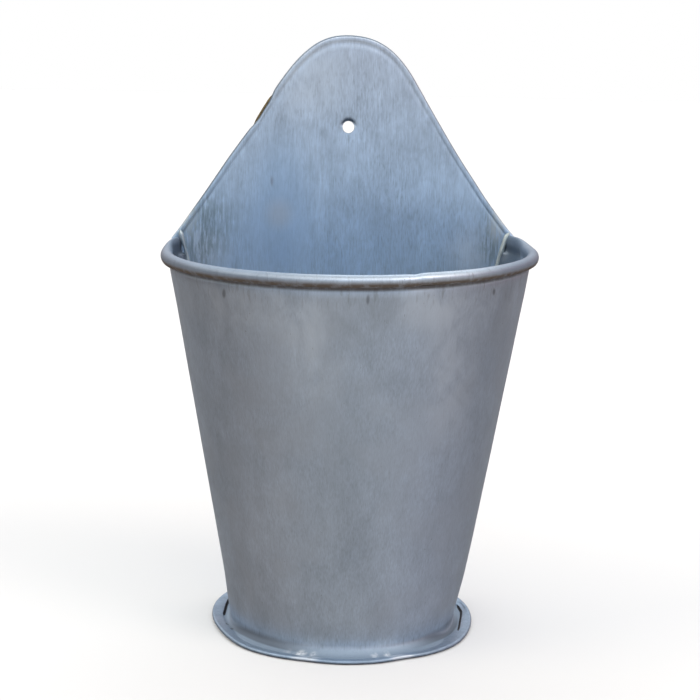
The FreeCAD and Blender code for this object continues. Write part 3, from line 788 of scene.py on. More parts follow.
# ------------------------------------------------------------------ materials
class Nodes:
    """Small helper to wire a material's nodes."""

    def __init__(self, name):
        self.mat = bpy.data.materials.new(name)
        self.mat.use_nodes = True
        self.t = self.mat.node_tree
        self.t.nodes.clear()
        self.out = self.t.nodes.new("ShaderNodeOutputMaterial")
        self.bsdf = self.t.nodes.new("ShaderNodeBsdfPrincipled")
        self.t.links.new(self.bsdf.outputs["BSDF"], self.out.inputs["Surface"])
        self.pos = self.t.nodes.new("ShaderNodeTexCoord").outputs["Object"]

    def link(self, a, b):
        self.t.links.new(a, b)

    def mapped(self, scale, offset=(0, 0, 0)):
        n = self.t.nodes.new("ShaderNodeMapping")
        n.inputs["Scale"].default_value = scale
        n.inputs["Location"].default_value = offset
        self.link(self.pos, n.inputs["Vector"])
        return n.outputs["Vector"]

    def noise(self, scale, detail=3.0, rough=0.5, offset=(0, 0, 0), distort=0.0):
        n = self.t.nodes.new("ShaderNodeTexNoise")
        n.inputs["Scale"].default_value = 1.0
        n.inputs["Detail"].default_value = detail
        n.inputs["Roughness"].default_value = rough
        n.inputs["Distortion"].default_value = distort
        self.link(self.mapped(scale if hasattr(scale, "__len__") else (scale,) * 3, offset), n.inputs["Vector"])
        return n.outputs["Fac"]

    def ramp(self, src, stops, smooth_ramp=False):
        n = self.t.nodes.new("ShaderNodeValToRGB")
        e = n.color_ramp.elements
        while len(e) < len(stops):
            e.new(0.5)
        for el, (p, c) in zip(e, stops):
            el.position = p
            el.color = (c, c, c, 1) if not hasattr(c, "__len__") else (*c, 1)
        if smooth_ramp:
            n.color_ramp.interpolation = "EASE"
        self.link(src, n.inputs["Fac"])
        return n.outputs["Color"]

    def range(self, src, a, b, c, d, kind="SMOOTHSTEP"):
        n = self.t.nodes.new("ShaderNodeMapRange")
        n.interpolation_type = kind
        n.inputs["From Min"].default_value = a
        n.inputs["From Max"].default_value = b
        n.inputs["To Min"].default_value = c
        n.inputs["To Max"].default_value = d
        self.link(src, n.inputs["Value"])
        return n.outputs["Result"]

    def math(self, op, a, b=None, clamp=False):
        n = self.t.nodes.new("ShaderNodeMath")
        n.operation = op
        n.use_clamp = clamp
        for k, v in enumerate((a, b)):
            if v is None:
                continue
            if isinstance(v, (int, float)):
                n.inputs[k].default_value = v
            else:
                self.link(v, n.inputs[k])
        return n.outputs["Value"]

    def mix(self, fac, a, b, mode="MIX"):
        n = self.t.nodes.new("ShaderNodeMix")
        n.data_type = "RGBA"
        n.blend_type = mode
        for sock, v in ((n.inputs[0], fac), (n.inputs[6], a), (n.inputs[7], b)):
            if isinstance(v, (int, float)):
                sock.default_value = v
            elif isinstance(v, tuple):
                sock.default_value = (*v, 1)
            else:
                self.link(v, sock)
        return n.outputs[2]

    def axis(self, k):
        n = self.t.nodes.new("ShaderNodeSeparateXYZ")
        self.link(self.pos, n.inputs[0])
        return n.outputs[k]

    def normal(self, k):
        n = self.t.nodes.new("ShaderNodeSeparateXYZ")
        self.link(self.t.nodes.new("ShaderNodeNewGeometry").outputs["Normal"], n.inputs[0])
        return n.outputs[k]

    def signed(self, fac):
        """Noise output spread over -1 to 1."""
        return self.range(fac, 0.30, 0.70, -1.0, 1.0, "LINEAR")

    def total(self, start, *terms):
        """start + sum of value * weight."""
        out = None
        for value, weight in terms:
            n = self.t.nodes.new("ShaderNodeMath")
            n.operation = "MULTIPLY_ADD"
            self.link(value, n.inputs[0])
            n.inputs[1].default_value = weight
            if out is None:
                n.inputs[2].default_value = start
            else:
                self.link(out, n.inputs[2])
            out = n.outputs[0]
        return out

    def radial(self):
        """Distance from the taper's axis."""
        n = self.t.nodes.new("ShaderNodeMapping")
        n.inputs["Scale"].default_value = (1.0, 1.0, 0.0)
        n.inputs["Location"].default_value = (0.0, -AXIS_Y * MM, 0.0)
        self.link(self.pos, n.inputs["Vector"])
        ln = self.t.nodes.new("ShaderNodeVectorMath")
        ln.operation = "LENGTH"
        self.link(n.outputs["Vector"], ln.inputs[0])
        return ln.outputs["Value"]

    def blob(self, centre, size, soft=1.0):
        """1 inside a soft ellipsoid at centre (mm) with half sizes (mm)."""
        n = self.t.nodes.new("ShaderNodeMapping")
        n.vector_type = "POINT"
        sc = [1.0 / (s * MM) for s in size]
        n.inputs["Scale"].default_value = sc
        n.inputs["Location"].default_value = [-c * MM * k for c, k in zip(centre, sc)]
        self.link(self.pos, n.inputs["Vector"])
        ln = self.t.nodes.new("ShaderNodeVectorMath")
        ln.operation = "LENGTH"
        self.link(n.outputs["Vector"], ln.inputs[0])
        return self.range(ln.outputs["Value"], 1.0 - 0.5 * soft, 1.0 + 0.5 * soft, 1.0, 0.0)

    def bump(self, height, strength, distance, below=None):
        n = self.t.nodes.new("ShaderNodeBump")
        n.inputs["Strength"].default_value = strength
        n.inputs["Distance"].default_value = distance
        self.link(height, n.inputs["Height"])
        if below is not None:
            self.link(below, n.inputs["Normal"])
        return n.outputs["Normal"]


# centre line of the gaping slit on each side of the foot: (y, x) in mm
SLITS = [((27.6, -61.4), (34.6, -60.5), (43.1, -59.7), (52.5, -58.0)),
         ((1.0, 57.3), (10.1, 59.3), (18.6, 61.0), (24.5, 62.3), (30.0, 63.1), (41.0, 62.3))]


def slit_shade(m):
    """Painted shade: dark along each slit, and two dark pin holes on the left."""
    x, y, z = m.axis(0), m.axis(1), m.axis(2)
    out = None
    for line in SLITS:
        y0, y1 = line[0][0], line[-1][0]
        u = m.range(y, y0 * MM, y1 * MM, 0.0, 1.0, "LINEAR")
        lo = min(p[1] for p in line) - 0.5
        span = max(p[1] for p in line) + 0.5 - lo
        at = m.ramp(u, [((p[0] - y0) / (y1 - y0), (p[1] - lo) / span) for p in line])
        centre = m.range(at, 0.0, 1.0, lo * MM, (lo + span) * MM, "LINEAR")
        off = m.math("ABSOLUTE", m.math("SUBTRACT", x, centre))
        ends = m.math("MULTIPLY", m.range(u, 0.0, 0.10, 0.0, 1.0), m.range(u, 1.0, 0.90, 0.0, 1.0))
        half = m.math("MULTIPLY", ends, 0.00048)
        gap = m.math("SUBTRACT", off, half)
        b = m.math("MULTIPLY", m.range(gap, 0.0, 0.00028, 1.0, 0.0), m.range(ends, 0.0, 0.15, 0.0, 1.0))
        out = b if out is None else m.math("MAXIMUM", out, b)
    for r, a in ((61.2, -77), (61.0, -70)):
        q = math.radians(a)
        out = m.math("MAXIMUM", out, m.math("MULTIPLY", m.blob(
            (r * math.sin(q), AXIS_Y - r * math.cos(q), 1.6), (0.8, 1.3, 1.7), 0.9), 0.8))
    return m.math("MULTIPLY", out, m.math("MULTIPLY", m.range(z, 0.0045, 0.0035, 0.0, 1.0), m.range(z, 0.0005, 0.0011, 0.0, 1.0)))


def zinc_shell():
    m = Nodes("zinc_shell")
    z = m.axis(2)
    rad = m.radial()
    cloud = m.noise(21.0, 2.0, 0.5, (3.1, 0.4, 1.2))
    patch = m.noise((58.0, 58.0, 34.0), 4.0, 0.6, (0.2, 5.0, 0.7), 0.6)
    mid = m.noise((190.0, 190.0, 90.0), 3.0, 0.6, (4.0, 1.0, 0.0))
    streak = m.noise((900.0, 900.0, 24.0), 2.0, 0.6, (0.0, 0.0, 4.0))
    fibre = m.noise((2300.0, 2300.0, 170.0), 2.0, 0.55, (1.0, 0.0, 2.0))
    tone = m.total(1.0, (m.signed(cloud), 0.08), (m.signed(patch), 0.08), (m.signed(mid), 0.04),
                   (m.signed(streak), 0.05), (m.signed(fibre), 0.10))
    col = m.mix(1.0, (0.475, 0.545, 0.632), tone, "MULTIPLY")
    # faint warm and cool drifts of the patina
    col = m.mix(m.range(m.noise(34.0, 2.0, 0.5, (8.0, 3.0, 1.0)), 0.45, 0.65, 0.0, 0.4), col, (0.480, 0.532, 0.598))
    # painted highlights: pale mottled patches under the rim that stand in for the soft reflected light bands on the
    # wall
    for c, size, k in (((-26.0, -55.0, 171.0), (15.0, 30.0, 13.0), 0.36), ((-21.0, -53.0, 152.0), (11.0, 30.0, 18.0), 0.32),
                       ((30.0, -55.0, 179.0), (14.0, 30.0, 10.0), 0.58), ((41.0, -44.0, 150.0), (11.0, 30.0, 34.0), 0.34),
                       ((-56.0, -35.0, 177.0), (26.0, 40.0, 14.0), 0.36), ((56.0, -33.0, 178.0), (19.0, 40.0, 13.0), 0.38),
                       ((47.0, -38.0, 146.0), (11.0, 30.0, 32.0), 0.20)):
        highlight_patch = m.math("MULTIPLY", m.blob(c, size, 1.5), m.range(patch, 0.36, 0.60, 0.35, 1.0))
        col = m.mix(m.math("MULTIPLY", highlight_patch, k), col, (0.72, 0.78, 0.84))
    # duller in the middle under the rim
    dull = m.math("MULTIPLY", m.blob((0.0, -60.0, 180.0), (20.0, 30.0, 13.0), 1.5), m.range(patch, 0.36, 0.60, 1.0, 0.5))
    col = m.mix(m.math("MULTIPLY", dull, 0.42), col, (0.350, 0.375, 0.405))
    dull = m.blob((-9.0, -50.0, 95.0), (12.0, 30.0, 36.0), 1.5)
    col = m.mix(m.math("MULTIPLY", dull, 0.16), col, (0.350, 0.390, 0.440))
    # small dark pits
    pit = m.range(m.noise((900.0, 900.0, 420.0), 2.0, 0.5, (3.0, 9.0, 1.0)), 0.73, 0.80, 0.0, 0.45)
    col = m.mix(pit, col, (0.12, 0.12, 0.12))
    # run marks just under the rim and just above the foot
    runs = m.range(m.noise((650.0, 650.0, 34.0), 2.0, 0.6, (2.0, 1.0, 0.0)), 0.56, 0.70, 0.0, 1.0)
    under = m.math("MULTIPLY", m.range(z, 0.172, 0.186, 0.0, 1.0), runs)
    low = m.math("MULTIPLY", m.range(z, 0.018, 0.004, 0.0, 1.0), runs)
    col = m.mix(m.math("MULTIPLY", under, 0.30), col, (0.17, 0.165, 0.16))
    col = m.mix(m.math("MULTIPLY", low, 0.35), col, (0.16, 0.19, 0.22))
    # three dark ticks under the rim
    for c, size in (((-63.0, -34.2, 180.6), (0.75, 4.0, 2.1)), ((1.3, -60.8, 182.6), (0.7, 4.0, 2.1)),
                    ((62.9, -34.6, 182.6), (0.7, 4.0, 1.5))):
        col = m.mix(m.math("MULTIPLY", m.blob(c, size, 1.1), 0.5), col, (0.08, 0.075, 0.075))
    # grime and painted shade below the rolled rim: a dark brown band that stands in for the shadow and the dark
    # reflection under the roll
    tilt = m.math("SUBTRACT", z, m.math("MULTIPLY", m.axis(0), 0.0162))
    outward = m.math("ADD", m.math("MULTIPLY", m.normal(0), m.axis(0)),
                     m.math("MULTIPLY", m.normal(1), m.math("SUBTRACT", m.axis(1), AXIS_Y * MM)))
    under_roll = m.math("MAXIMUM", m.range(tilt, 0.1856, 0.1874, 0.0, 0.90), m.range(tilt, 0.1874, 0.1881, 0.0, 1.0))
    grime_and_shade = m.math("MULTIPLY", m.math("MULTIPLY", under_roll, m.range(tilt, 0.1926, 0.1896, 0.0, 1.0)),
                   m.math("MAXIMUM", m.range(rad, 0.0896, 0.0901, 0.0, 1.0), m.range(outward, 0.005, 0.020, 0.0, 1.0)))
    grime_and_shade = m.math("MULTIPLY", grime_and_shade, m.range(m.axis(1), 0.036, 0.050, 1.0, 0.0))
    grime_and_shade = m.math("MULTIPLY", grime_and_shade, m.range(m.noise(240.0, 3.0, 0.6), 0.30, 0.55, 0.82, 1.0))
    # painted shade: the roll is darkened and tinted blue towards its ends, standing in for its dimmer bluish
    # reflection there
    roll = m.math("MULTIPLY", m.range(tilt, 0.1870, 0.1892, 0.0, 1.0),
                  m.math("MAXIMUM", m.range(m.axis(0), -0.012, -0.058, 0.0, 1.0), m.range(m.axis(0), 0.040, 0.078, 0.0, 1.0)))
    col = m.mix(m.math("MULTIPLY", roll, 0.68), col, (0.195, 0.250, 0.330))
    # painted shade and grime under the roll, dark brown
    col = m.mix(m.math("MULTIPLY", grime_and_shade, 0.96), col, (0.070, 0.048, 0.032))
    # painted shade inside the two corners, below the roll's ends: a darker, bluer colour over the bright reflection
    # there
    x = m.axis(0)
    corner_shade = m.math("MULTIPLY", m.range(m.math("ABSOLUTE", x), 0.074, 0.082, 0.0, 1.0), m.range(m.axis(1), 0.036, 0.050, 0.0, 1.0))
    corner_shade = m.math("MULTIPLY", corner_shade, m.range(m.math("MULTIPLY", x, m.normal(0)), 0.0, -0.02, 0.0, 1.0))
    corner_shade = m.math("MULTIPLY", corner_shade, m.math("MULTIPLY", m.range(z, 0.170, 0.180, 0.0, 1.0), m.range(z, 0.1935, 0.1910, 0.0, 1.0)))
    col = m.mix(m.math("MULTIPLY", corner_shade, 0.75), col, (0.130, 0.165, 0.215))
    # painted shade on the flare below the bend: darker and cooler, standing in for its dim bluish reflection; a soft
    # painted shadow in the crease on both sides
    flare = m.math("MULTIPLY", m.range(z, 0.0062, 0.0034, 0.0, 1.0), m.range(rad, 0.0575, 0.0583, 0.0, 1.0))
    col = m.mix(m.math("MULTIPLY", flare, 0.85), col, (0.250, 0.320, 0.405))
    # painted highlights: a few bright glints on the front of the flange, and a dark fleck
    broken = m.range(m.noise((420.0, 420.0, 700.0), 3.0, 0.6, (1.0, 6.0, 2.0)), 0.38, 0.56, 0.15, 1.0)
    for cx, w, k in ((-24.8, 2.9, 0.85), (-18.0, 1.8, 0.65), (-30.5, 2.0, 0.25), (11.8, 2.0, 0.45), (17.9, 1.5, 0.70)):
        cy = AXIS_Y - math.sqrt(61.6 ** 2 - cx ** 2)
        glint = m.math("MULTIPLY", m.blob((cx, cy, 2.6), (w, 1.9, 1.3), 1.3), broken)
        col = m.mix(m.math("MULTIPLY", glint, k), col, (0.86, 0.89, 0.92))
    col = m.mix(m.math("MULTIPLY", m.blob((-20.2, AXIS_Y - 61.6, 2.0), (1.2, 1.1, 1.5), 0.8), 0.75), col, (0.08, 0.10, 0.14))
    # painted shadow in the crease where the wall meets the flange, left and right
    ring = m.math("MULTIPLY", m.range(rad, 0.0577, 0.0586, 0.0, 1.0), m.range(rad, 0.0612, 0.0600, 0.0, 1.0))
    ring = m.math("MULTIPLY", ring, m.range(z, 0.0080, 0.0045, 0.0, 1.0))
    for c, size, k in (((-50.0, -14.0, 3.0), (26.0, 30.0, 9.0), 0.80), ((50.0, 0.0, 3.0), (20.0, 26.0, 9.0), 0.75)):
        crease_shade = m.math("MULTIPLY", m.math("MULTIPLY", ring, m.blob(c, size, 1.1)), k)
        col = m.mix(crease_shade, col, (0.10, 0.12, 0.15))
    # painted shade in the side slits and pin holes
    col = m.mix(m.math("MULTIPLY", slit_shade(m), 0.97), col, (0.010, 0.011, 0.013))
    m.link(col, m.bsdf.inputs["Base Color"])
    metal = m.total(0.85, (grime_and_shade, -0.82), (flare, -0.35))
    m.link(metal, m.bsdf.inputs["Metallic"])
    m.bsdf.inputs["Specular IOR Level"].default_value = 0.1
    rough = m.total(0.44, (m.signed(cloud), -0.04), (m.signed(streak), 0.03), (grime_and_shade, 0.30), (flare, 0.16), (roll, 0.12))
    m.link(rough, m.bsdf.inputs["Roughness"])
    h = m.math("ADD", m.math("MULTIPLY", streak, 0.5), m.math("MULTIPLY", fibre, 0.5))
    n1 = m.bump(h, 0.22, 0.0001)
    n2 = m.bump(m.noise(90.0, 3.0, 0.5, (7.0, 0.0, 0.0)), 0.20, 0.0005, n1)
    m.link(n2, m.bsdf.inputs["Normal"])
    return m.mat


def zinc_plate():
    m = Nodes("zinc_plate")
    z = m.axis(2)
    cloud = m.noise(22.0, 2.0, 0.5, (9.0, 0.4, 3.2))
    mott = m.noise((150.0, 150.0, 110.0), 4.0, 0.62, (1.0, 2.0, 0.0), 0.5)
    band = m.noise((95.0, 95.0, 14.0), 3.0, 0.55, (6.0, 1.0, 0.0))
    streak = m.noise((1000.0, 1000.0, 60.0), 2.0, 0.6, (0.0, 3.0, 1.0))
    fibre = m.noise((2300.0, 2300.0, 230.0), 2.0, 0.55, (4.0, 0.0, 2.0))
    where = m.range(m.noise(26.0, 2.0, 0.5, (2.0, 7.0, 5.0)), 0.38, 0.60, 0.25, 1.0)
    dash = m.math("MULTIPLY", m.range(m.noise((1500.0, 1500.0, 260.0), 2.0, 0.5, (3.0, 3.0, 3.0)), 0.46, 0.70, 0.0, 1.0), where)
    tone = m.total(1.0, (m.signed(cloud), 0.07), (m.signed(mott), 0.09), (m.signed(band), 0.06),
                   (m.signed(streak), 0.07), (m.signed(fibre), 0.10), (dash, -0.16))
    # painted reflection: the colour runs bluer towards the bottom, standing in for the cool light the lower plate
    # reflects
    base = m.ramp(m.range(z, 0.185, 0.290, 0.0, 1.0, "LINEAR"),
                  [(0.0, (0.430, 0.570, 0.730)), (0.45, (0.450, 0.550, 0.665)), (1.0, (0.510, 0.565, 0.640))])
    col = m.mix(1.0, base, tone, "MULTIPLY")
    # smooth bluer area left of the middle, a beige fleck in it
    col = m.mix(m.math("MULTIPLY", m.blob((-34.0, PLATE_Y, 205.0), (15.0, 30.0, 34.0), 1.3), 0.55), col, (0.350, 0.490, 0.665))
    col = m.mix(m.math("MULTIPLY", m.blob((-34.2, PLATE_Y, 207.0), (6.0, 30.0, 6.5), 1.5), 0.35), col, (0.50, 0.50, 0.50))
    col = m.mix(m.math("MULTIPLY", m.blob((-38.1, PLATE_Y, 223.6), (0.7, 30.0, 2.3), 1.4), 0.32), col, (0.16, 0.11, 0.11))
    # paler left shoulder, and painted light by both lower corners: paler patches that lift the shade falling there
    for cx, cz, wx, wz, k in ((-19.0, 276.0, 17.0, 17.0, 0.50), (-72.0, 187.0, 10.0, 10.0, 0.50), (68.0, 188.0, 12.0, 12.0, 0.45)):
        pale = m.math("MULTIPLY", m.blob((cx, PLATE_Y, cz), (wx, 30.0, wz), 1.5), m.range(mott, 0.35, 0.60, 0.6, 1.0))
        col = m.mix(m.math("MULTIPLY", pale, k), col, (0.66, 0.72, 0.78))
    # flux stains by both corners, streaked downwards, on the front only
    front = m.range(m.axis(1), (PLATE_Y + 0.2) * MM, (PLATE_Y + 0.5) * MM, 1.0, 0.0)
    stain_n = m.noise((900.0, 900.0, 110.0), 4.0, 0.65, (5.0, 0.0, 1.0), 0.4)
    for cx, cz, wx, wz, k in ((-73.0, 200.0, 14.0, 16.0, 0.80), (76.5, 196.0, 5.5, 15.0, 0.85),
                              (-76.0, 185.0, 6.0, 7.0, 0.50)):
        area = m.math("MULTIPLY", m.blob((cx, PLATE_Y, cz), (wx, 30.0, wz), 1.3), front)
        mask = m.math("MULTIPLY", area, m.range(stain_n, 0.36, 0.62, 0.0, 1.0))
        col = m.mix(m.math("MULTIPLY", mask, k), col, (0.215, 0.275, 0.300))
        pale = m.math("MULTIPLY", area, m.range(stain_n, 0.42, 0.30, 0.0, 0.55))
        col = m.mix(pale, col, (0.60, 0.68, 0.72))
    # creamy smear of solder below the right corner
    smear = m.math("MULTIPLY", m.blob((79.5, PLATE_Y, 202.0), (4.0, 30.0, 8.0), 1.3), m.range(stain_n, 0.36, 0.60, 0.3, 1.0))
    col = m.mix(m.math("MULTIPLY", smear, 0.6), col, (0.66, 0.70, 0.70))
    smear = m.math("MULTIPLY", m.blob((-80.0, PLATE_Y, 203.0), (4.0, 30.0, 9.0), 1.3), m.range(stain_n, 0.36, 0.60, 0.2, 1.0))
    col = m.mix(m.math("MULTIPLY", smear, 0.45), col, (0.60, 0.66, 0.68))
    # painted shade: a dull dark line where the arch's edge turns back, over the rounded top that would catch the light
    turn_shade = m.math("MULTIPLY", m.range(m.math("ABSOLUTE", m.normal(1)), 0.965, 0.80, 0.0, 1.0),
                  m.range(z, 0.200, 0.215, 0.0, 1.0))
    turn_shade = m.math("MULTIPLY", turn_shade, m.range(m.axis(0), 0.010, 0.050, 0.82, 0.45))
    col = m.mix(turn_shade, col, (0.105, 0.145, 0.200))
    m.link(col, m.bsdf.inputs["Base Color"])
    m.bsdf.inputs["Metallic"].default_value = 0.85
    rough = m.total(0.44, (m.signed(mott), -0.04), (m.signed(streak), 0.03), (dash, 0.06))
    m.link(rough, m.bsdf.inputs["Roughness"])
    h = m.math("ADD", m.math("MULTIPLY", streak, 0.5), m.math("MULTIPLY", fibre, 0.5))
    n1 = m.bump(h, 0.22, 0.0001)
    n2 = m.bump(mott, 0.18, 0.0003, n1)
    m.link(n2, m.bsdf.inputs["Normal"])
    return m.mat


def zinc_base():
    m = Nodes("zinc_base")
    z = m.axis(2)
    cloud = m.noise(75.0, 3.0, 0.6, (2.0, 2.0, 2.0))
    mott = m.noise((420.0, 420.0, 200.0), 4.0, 0.6, (2.0, 0.0, 6.0), 0.5)
    fine = m.noise(1500.0, 2.0, 0.6, (2.0, 0.0, 2.0))
    tone = m.total(1.0, (m.signed(cloud), 0.08), (m.signed(mott), 0.10), (m.signed(fine), 0.06))
    col = m.mix(1.0, (0.280, 0.360, 0.460), tone, "MULTIPLY")
    # painted highlights: a few bright glints on the front of the flange, and a dark fleck
    for cx, w, k in ((-24.8, 2.3, 0.95), (-18.0, 1.3, 0.8), (11.8, 1.7, 0.55), (17.9, 1.3, 0.85)):
        cy = AXIS_Y - math.sqrt(61.3 ** 2 - cx ** 2)
        col = m.mix(m.math("MULTIPLY", m.blob((cx, cy, 1.9), (w, 1.7, 1.5), 0.5), k), col, (0.94, 0.96, 0.98))
    col = m.mix(m.math("MULTIPLY", m.blob((-20.2, AXIS_Y - 61.4, 1.9), (1.2, 1.1, 1.5), 0.8), 0.75), col, (0.10, 0.12, 0.16))
    # painted highlight on the outer edge, left and right of the middle: a bright line on the hem's rounded edge
    for cx in (-22.0, 24.5):
        cy = AXIS_Y - math.sqrt(65.2 ** 2 - cx ** 2)
        col = m.mix(m.math("MULTIPLY", m.blob((cx, cy, 1.5), (8.5, 3.2, 0.75), 0.6), 0.5), col, (0.85, 0.89, 0.93))
    # darker brown along the bottom edge
    edge = m.math("MULTIPLY", m.range(z, 0.0011, 0.0003, 0.0, 1.0), m.range(m.noise(160.0, 3.0, 0.6), 0.35, 0.6, 0.45, 1.0))
    edge = m.math("MULTIPLY", edge, m.range(m.radial(), 0.0640, 0.0655, 0.0, 1.0))
    col = m.mix(m.math("MULTIPLY", edge, 0.85), col, (0.085, 0.070, 0.070))
    # painted shade in the side slits and pin holes
    col = m.mix(m.math("MULTIPLY", slit_shade(m), 0.85), col, (0.020, 0.021, 0.024))
    m.link(col, m.bsdf.inputs["Base Color"])
    m.bsdf.inputs["Metallic"].default_value = 0.8
    m.link(m.range(cloud, 0.3, 0.7, 0.56, 0.44, "LINEAR"), m.bsdf.inputs["Roughness"])
    m.link(m.bump(mott, 0.25, 0.0003), m.bsdf.inputs["Normal"])
    return m.mat


def wire_metal():
    m = Nodes("wire_metal")
    n = m.noise(500.0, 3.0, 0.6)
    zinc = m.ramp(n, [(0.3, (0.26, 0.27, 0.29)), (0.7, (0.42, 0.43, 0.45))])
    rust = m.ramp(m.noise(900.0, 3.0, 0.6), [(0.35, (0.060, 0.042, 0.018)), (0.65, (0.190, 0.140, 0.060))])
    # the arch's wire is bare and rusty where it has sprung out of the roll
    spot = m.blob((-43.0, PLATE_Y + 1.1, 260.0), (6.5, 8.0, 11.5), 0.5)
    m.link(m.mix(spot, zinc, rust), m.bsdf.inputs["Base Color"])
    m.link(m.range(spot, 0.0, 1.0, 0.9, 0.25), m.bsdf.inputs["Metallic"])
    m.link(m.math("ADD", m.range(n, 0.3, 0.7, 0.35, 0.5), m.math("MULTIPLY", spot, 0.25)), m.bsdf.inputs["Roughness"])
    m.link(m.bump(n, 0.3, 0.0001), m.bsdf.inputs["Normal"])
    return m.mat


def solder_metal():
    m = Nodes("solder_metal")
    n = m.noise((300.0, 300.0, 160.0), 3.0, 0.6, (1.0, 1.0, 1.0), 0.8)
    col = m.ramp(n, [(0.32, (0.46, 0.52, 0.51)), (0.50, (0.56, 0.61, 0.59)), (0.72, (0.68, 0.72, 0.69))])
    col = m.mix(m.range(m.axis(0), -0.01, 0.01, 0.75, 0.0), col, (0.42, 0.50, 0.56))
    m.link(col, m.bsdf.inputs["Base Color"])
    m.bsdf.inputs["Metallic"].default_value = 0.75
    m.link(m.range(n, 0.3, 0.7, 0.56, 0.44), m.bsdf.inputs["Roughness"])
    m.link(m.bump(n, 0.2, 0.0002), m.bsdf.inputs["Normal"])
    return m.mat


# ------------------------------------------------------------------ pieces
shell = make_shell()
wire = make_rim_wire()
plate = make_plate()
arch_wire = make_arch_wire()
base = make_base()
run_l = make_corner_solder("corner_solder_left_run", -1)
run_r = make_corner_solder("corner_solder_right_run", 1)
fillet = make_base_solder()

for obj, node, slot, mat in (
        (shell, "front_shell", "galvanised_shell", zinc_shell()),
        (wire, "rim_wire", "wire", wire_metal()),
        (plate, "back_plate", "galvanised_plate", zinc_plate()),
        (arch_wire, "back_edge_wire", "wire", None),
        (base, "base_plate", "galvanised_base", zinc_base()),
        (run_l, "corner_solder_left", "solder", solder_metal()),
        (run_r, "corner_solder_right", "solder", None),
        (fillet, "base_solder", "solder", None)):
    if mat is None:
        mat = bpy.data.materials["wire_metal" if slot == "wire" else "solder_metal"]
    obj.data.materials.append(mat)
    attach(obj, "root")
    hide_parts(node)

# ------------------------------------------------------------------ stage
floor_mesh = Mesh()
k = floor_mesh.add([(-6000, -6000, 0), (6000, -6000, 0), (6000, 6000, 0), (-6000, 6000, 0)])
floor_mesh.f.append(list(k))
floor = floor_mesh.build("floor")
floor.location.z = -0.0002
fm = bpy.data.materials.new("floor_paper")
fm.use_nodes = True
fb = fm.node_tree.nodes["Principled BSDF"]
fb.inputs["Base Color"].default_value = (0.80, 0.80, 0.80, 1)
fb.inputs["Roughness"].default_value = 1.0
fb.inputs["Specular IOR Level"].default_value = 0.0
floor.data.materials.append(fm)
floor.visible_glossy = False


def sun(name, azimuth, elevation, strength, spread, color=(1, 1, 1)):
    """Soft lamp; azimuth in degrees from the front, to the right."""
    d = bpy.data.lights.new(name, "SUN")
    d.energy = strength
    d.angle = math.radians(spread)
    d.color = color
    o = bpy.data.objects.new(name, d)
    bpy.context.scene.collection.objects.link(o)
    a, e = math.radians(azimuth), math.radians(elevation)
    to = Vector((math.sin(a) * math.cos(e), -math.cos(a) * math.cos(e), math.sin(e)))
    o.rotation_euler = to.to_track_quat("Z", "Y").to_euler()
    return o


sun("key_right", 50, 38, 0.63, 26, (1.00, 0.87, 0.76))
sun("fill_left", -76, 38, 0.51, 30, (1.00, 0.89, 0.71))

# the studio around: (elevation, azimuth from the front or None, colour)
STUDIO = [
    (90, None, (0.29, 0.33, 0.38)),
    (45, 0, (2.20, 2.21, 2.15)), (45, 90, (1.07, 1.05, 1.04)),
    (45, 180, (2.05, 2.21, 2.28)), (45, -90, (1.43, 1.38, 1.35)),
    (12, 0, (0.52, 0.69, 0.93)), (12, 90, (0.41, 0.24, 0.28)),
    (12, 180, (0.62, 0.38, 0.30)), (12, -90, (0.04, 0.04, 0.04)),
    (-15, 0, (0.80, 0.80, 0.80)), (-15, 90, (0.04, 0.04, 0.04)),
    (-15, 180, (0.30, 0.30, 0.30)), (-15, -90, (0.06, 0.04, 0.04)),
    (-42, 0, (0.12, 0.10, 0.08)), (-42, 90, (0.46, 0.45, 0.50)),
    (-42, 180, (0.15, 0.15, 0.15)), (-42, -90, (0.39, 0.34, 0.31)),
    (-90, None, (0.17, 0.10, 0.07)),
]
RINGS = [-90, -42, -15, 12, 45, 90]


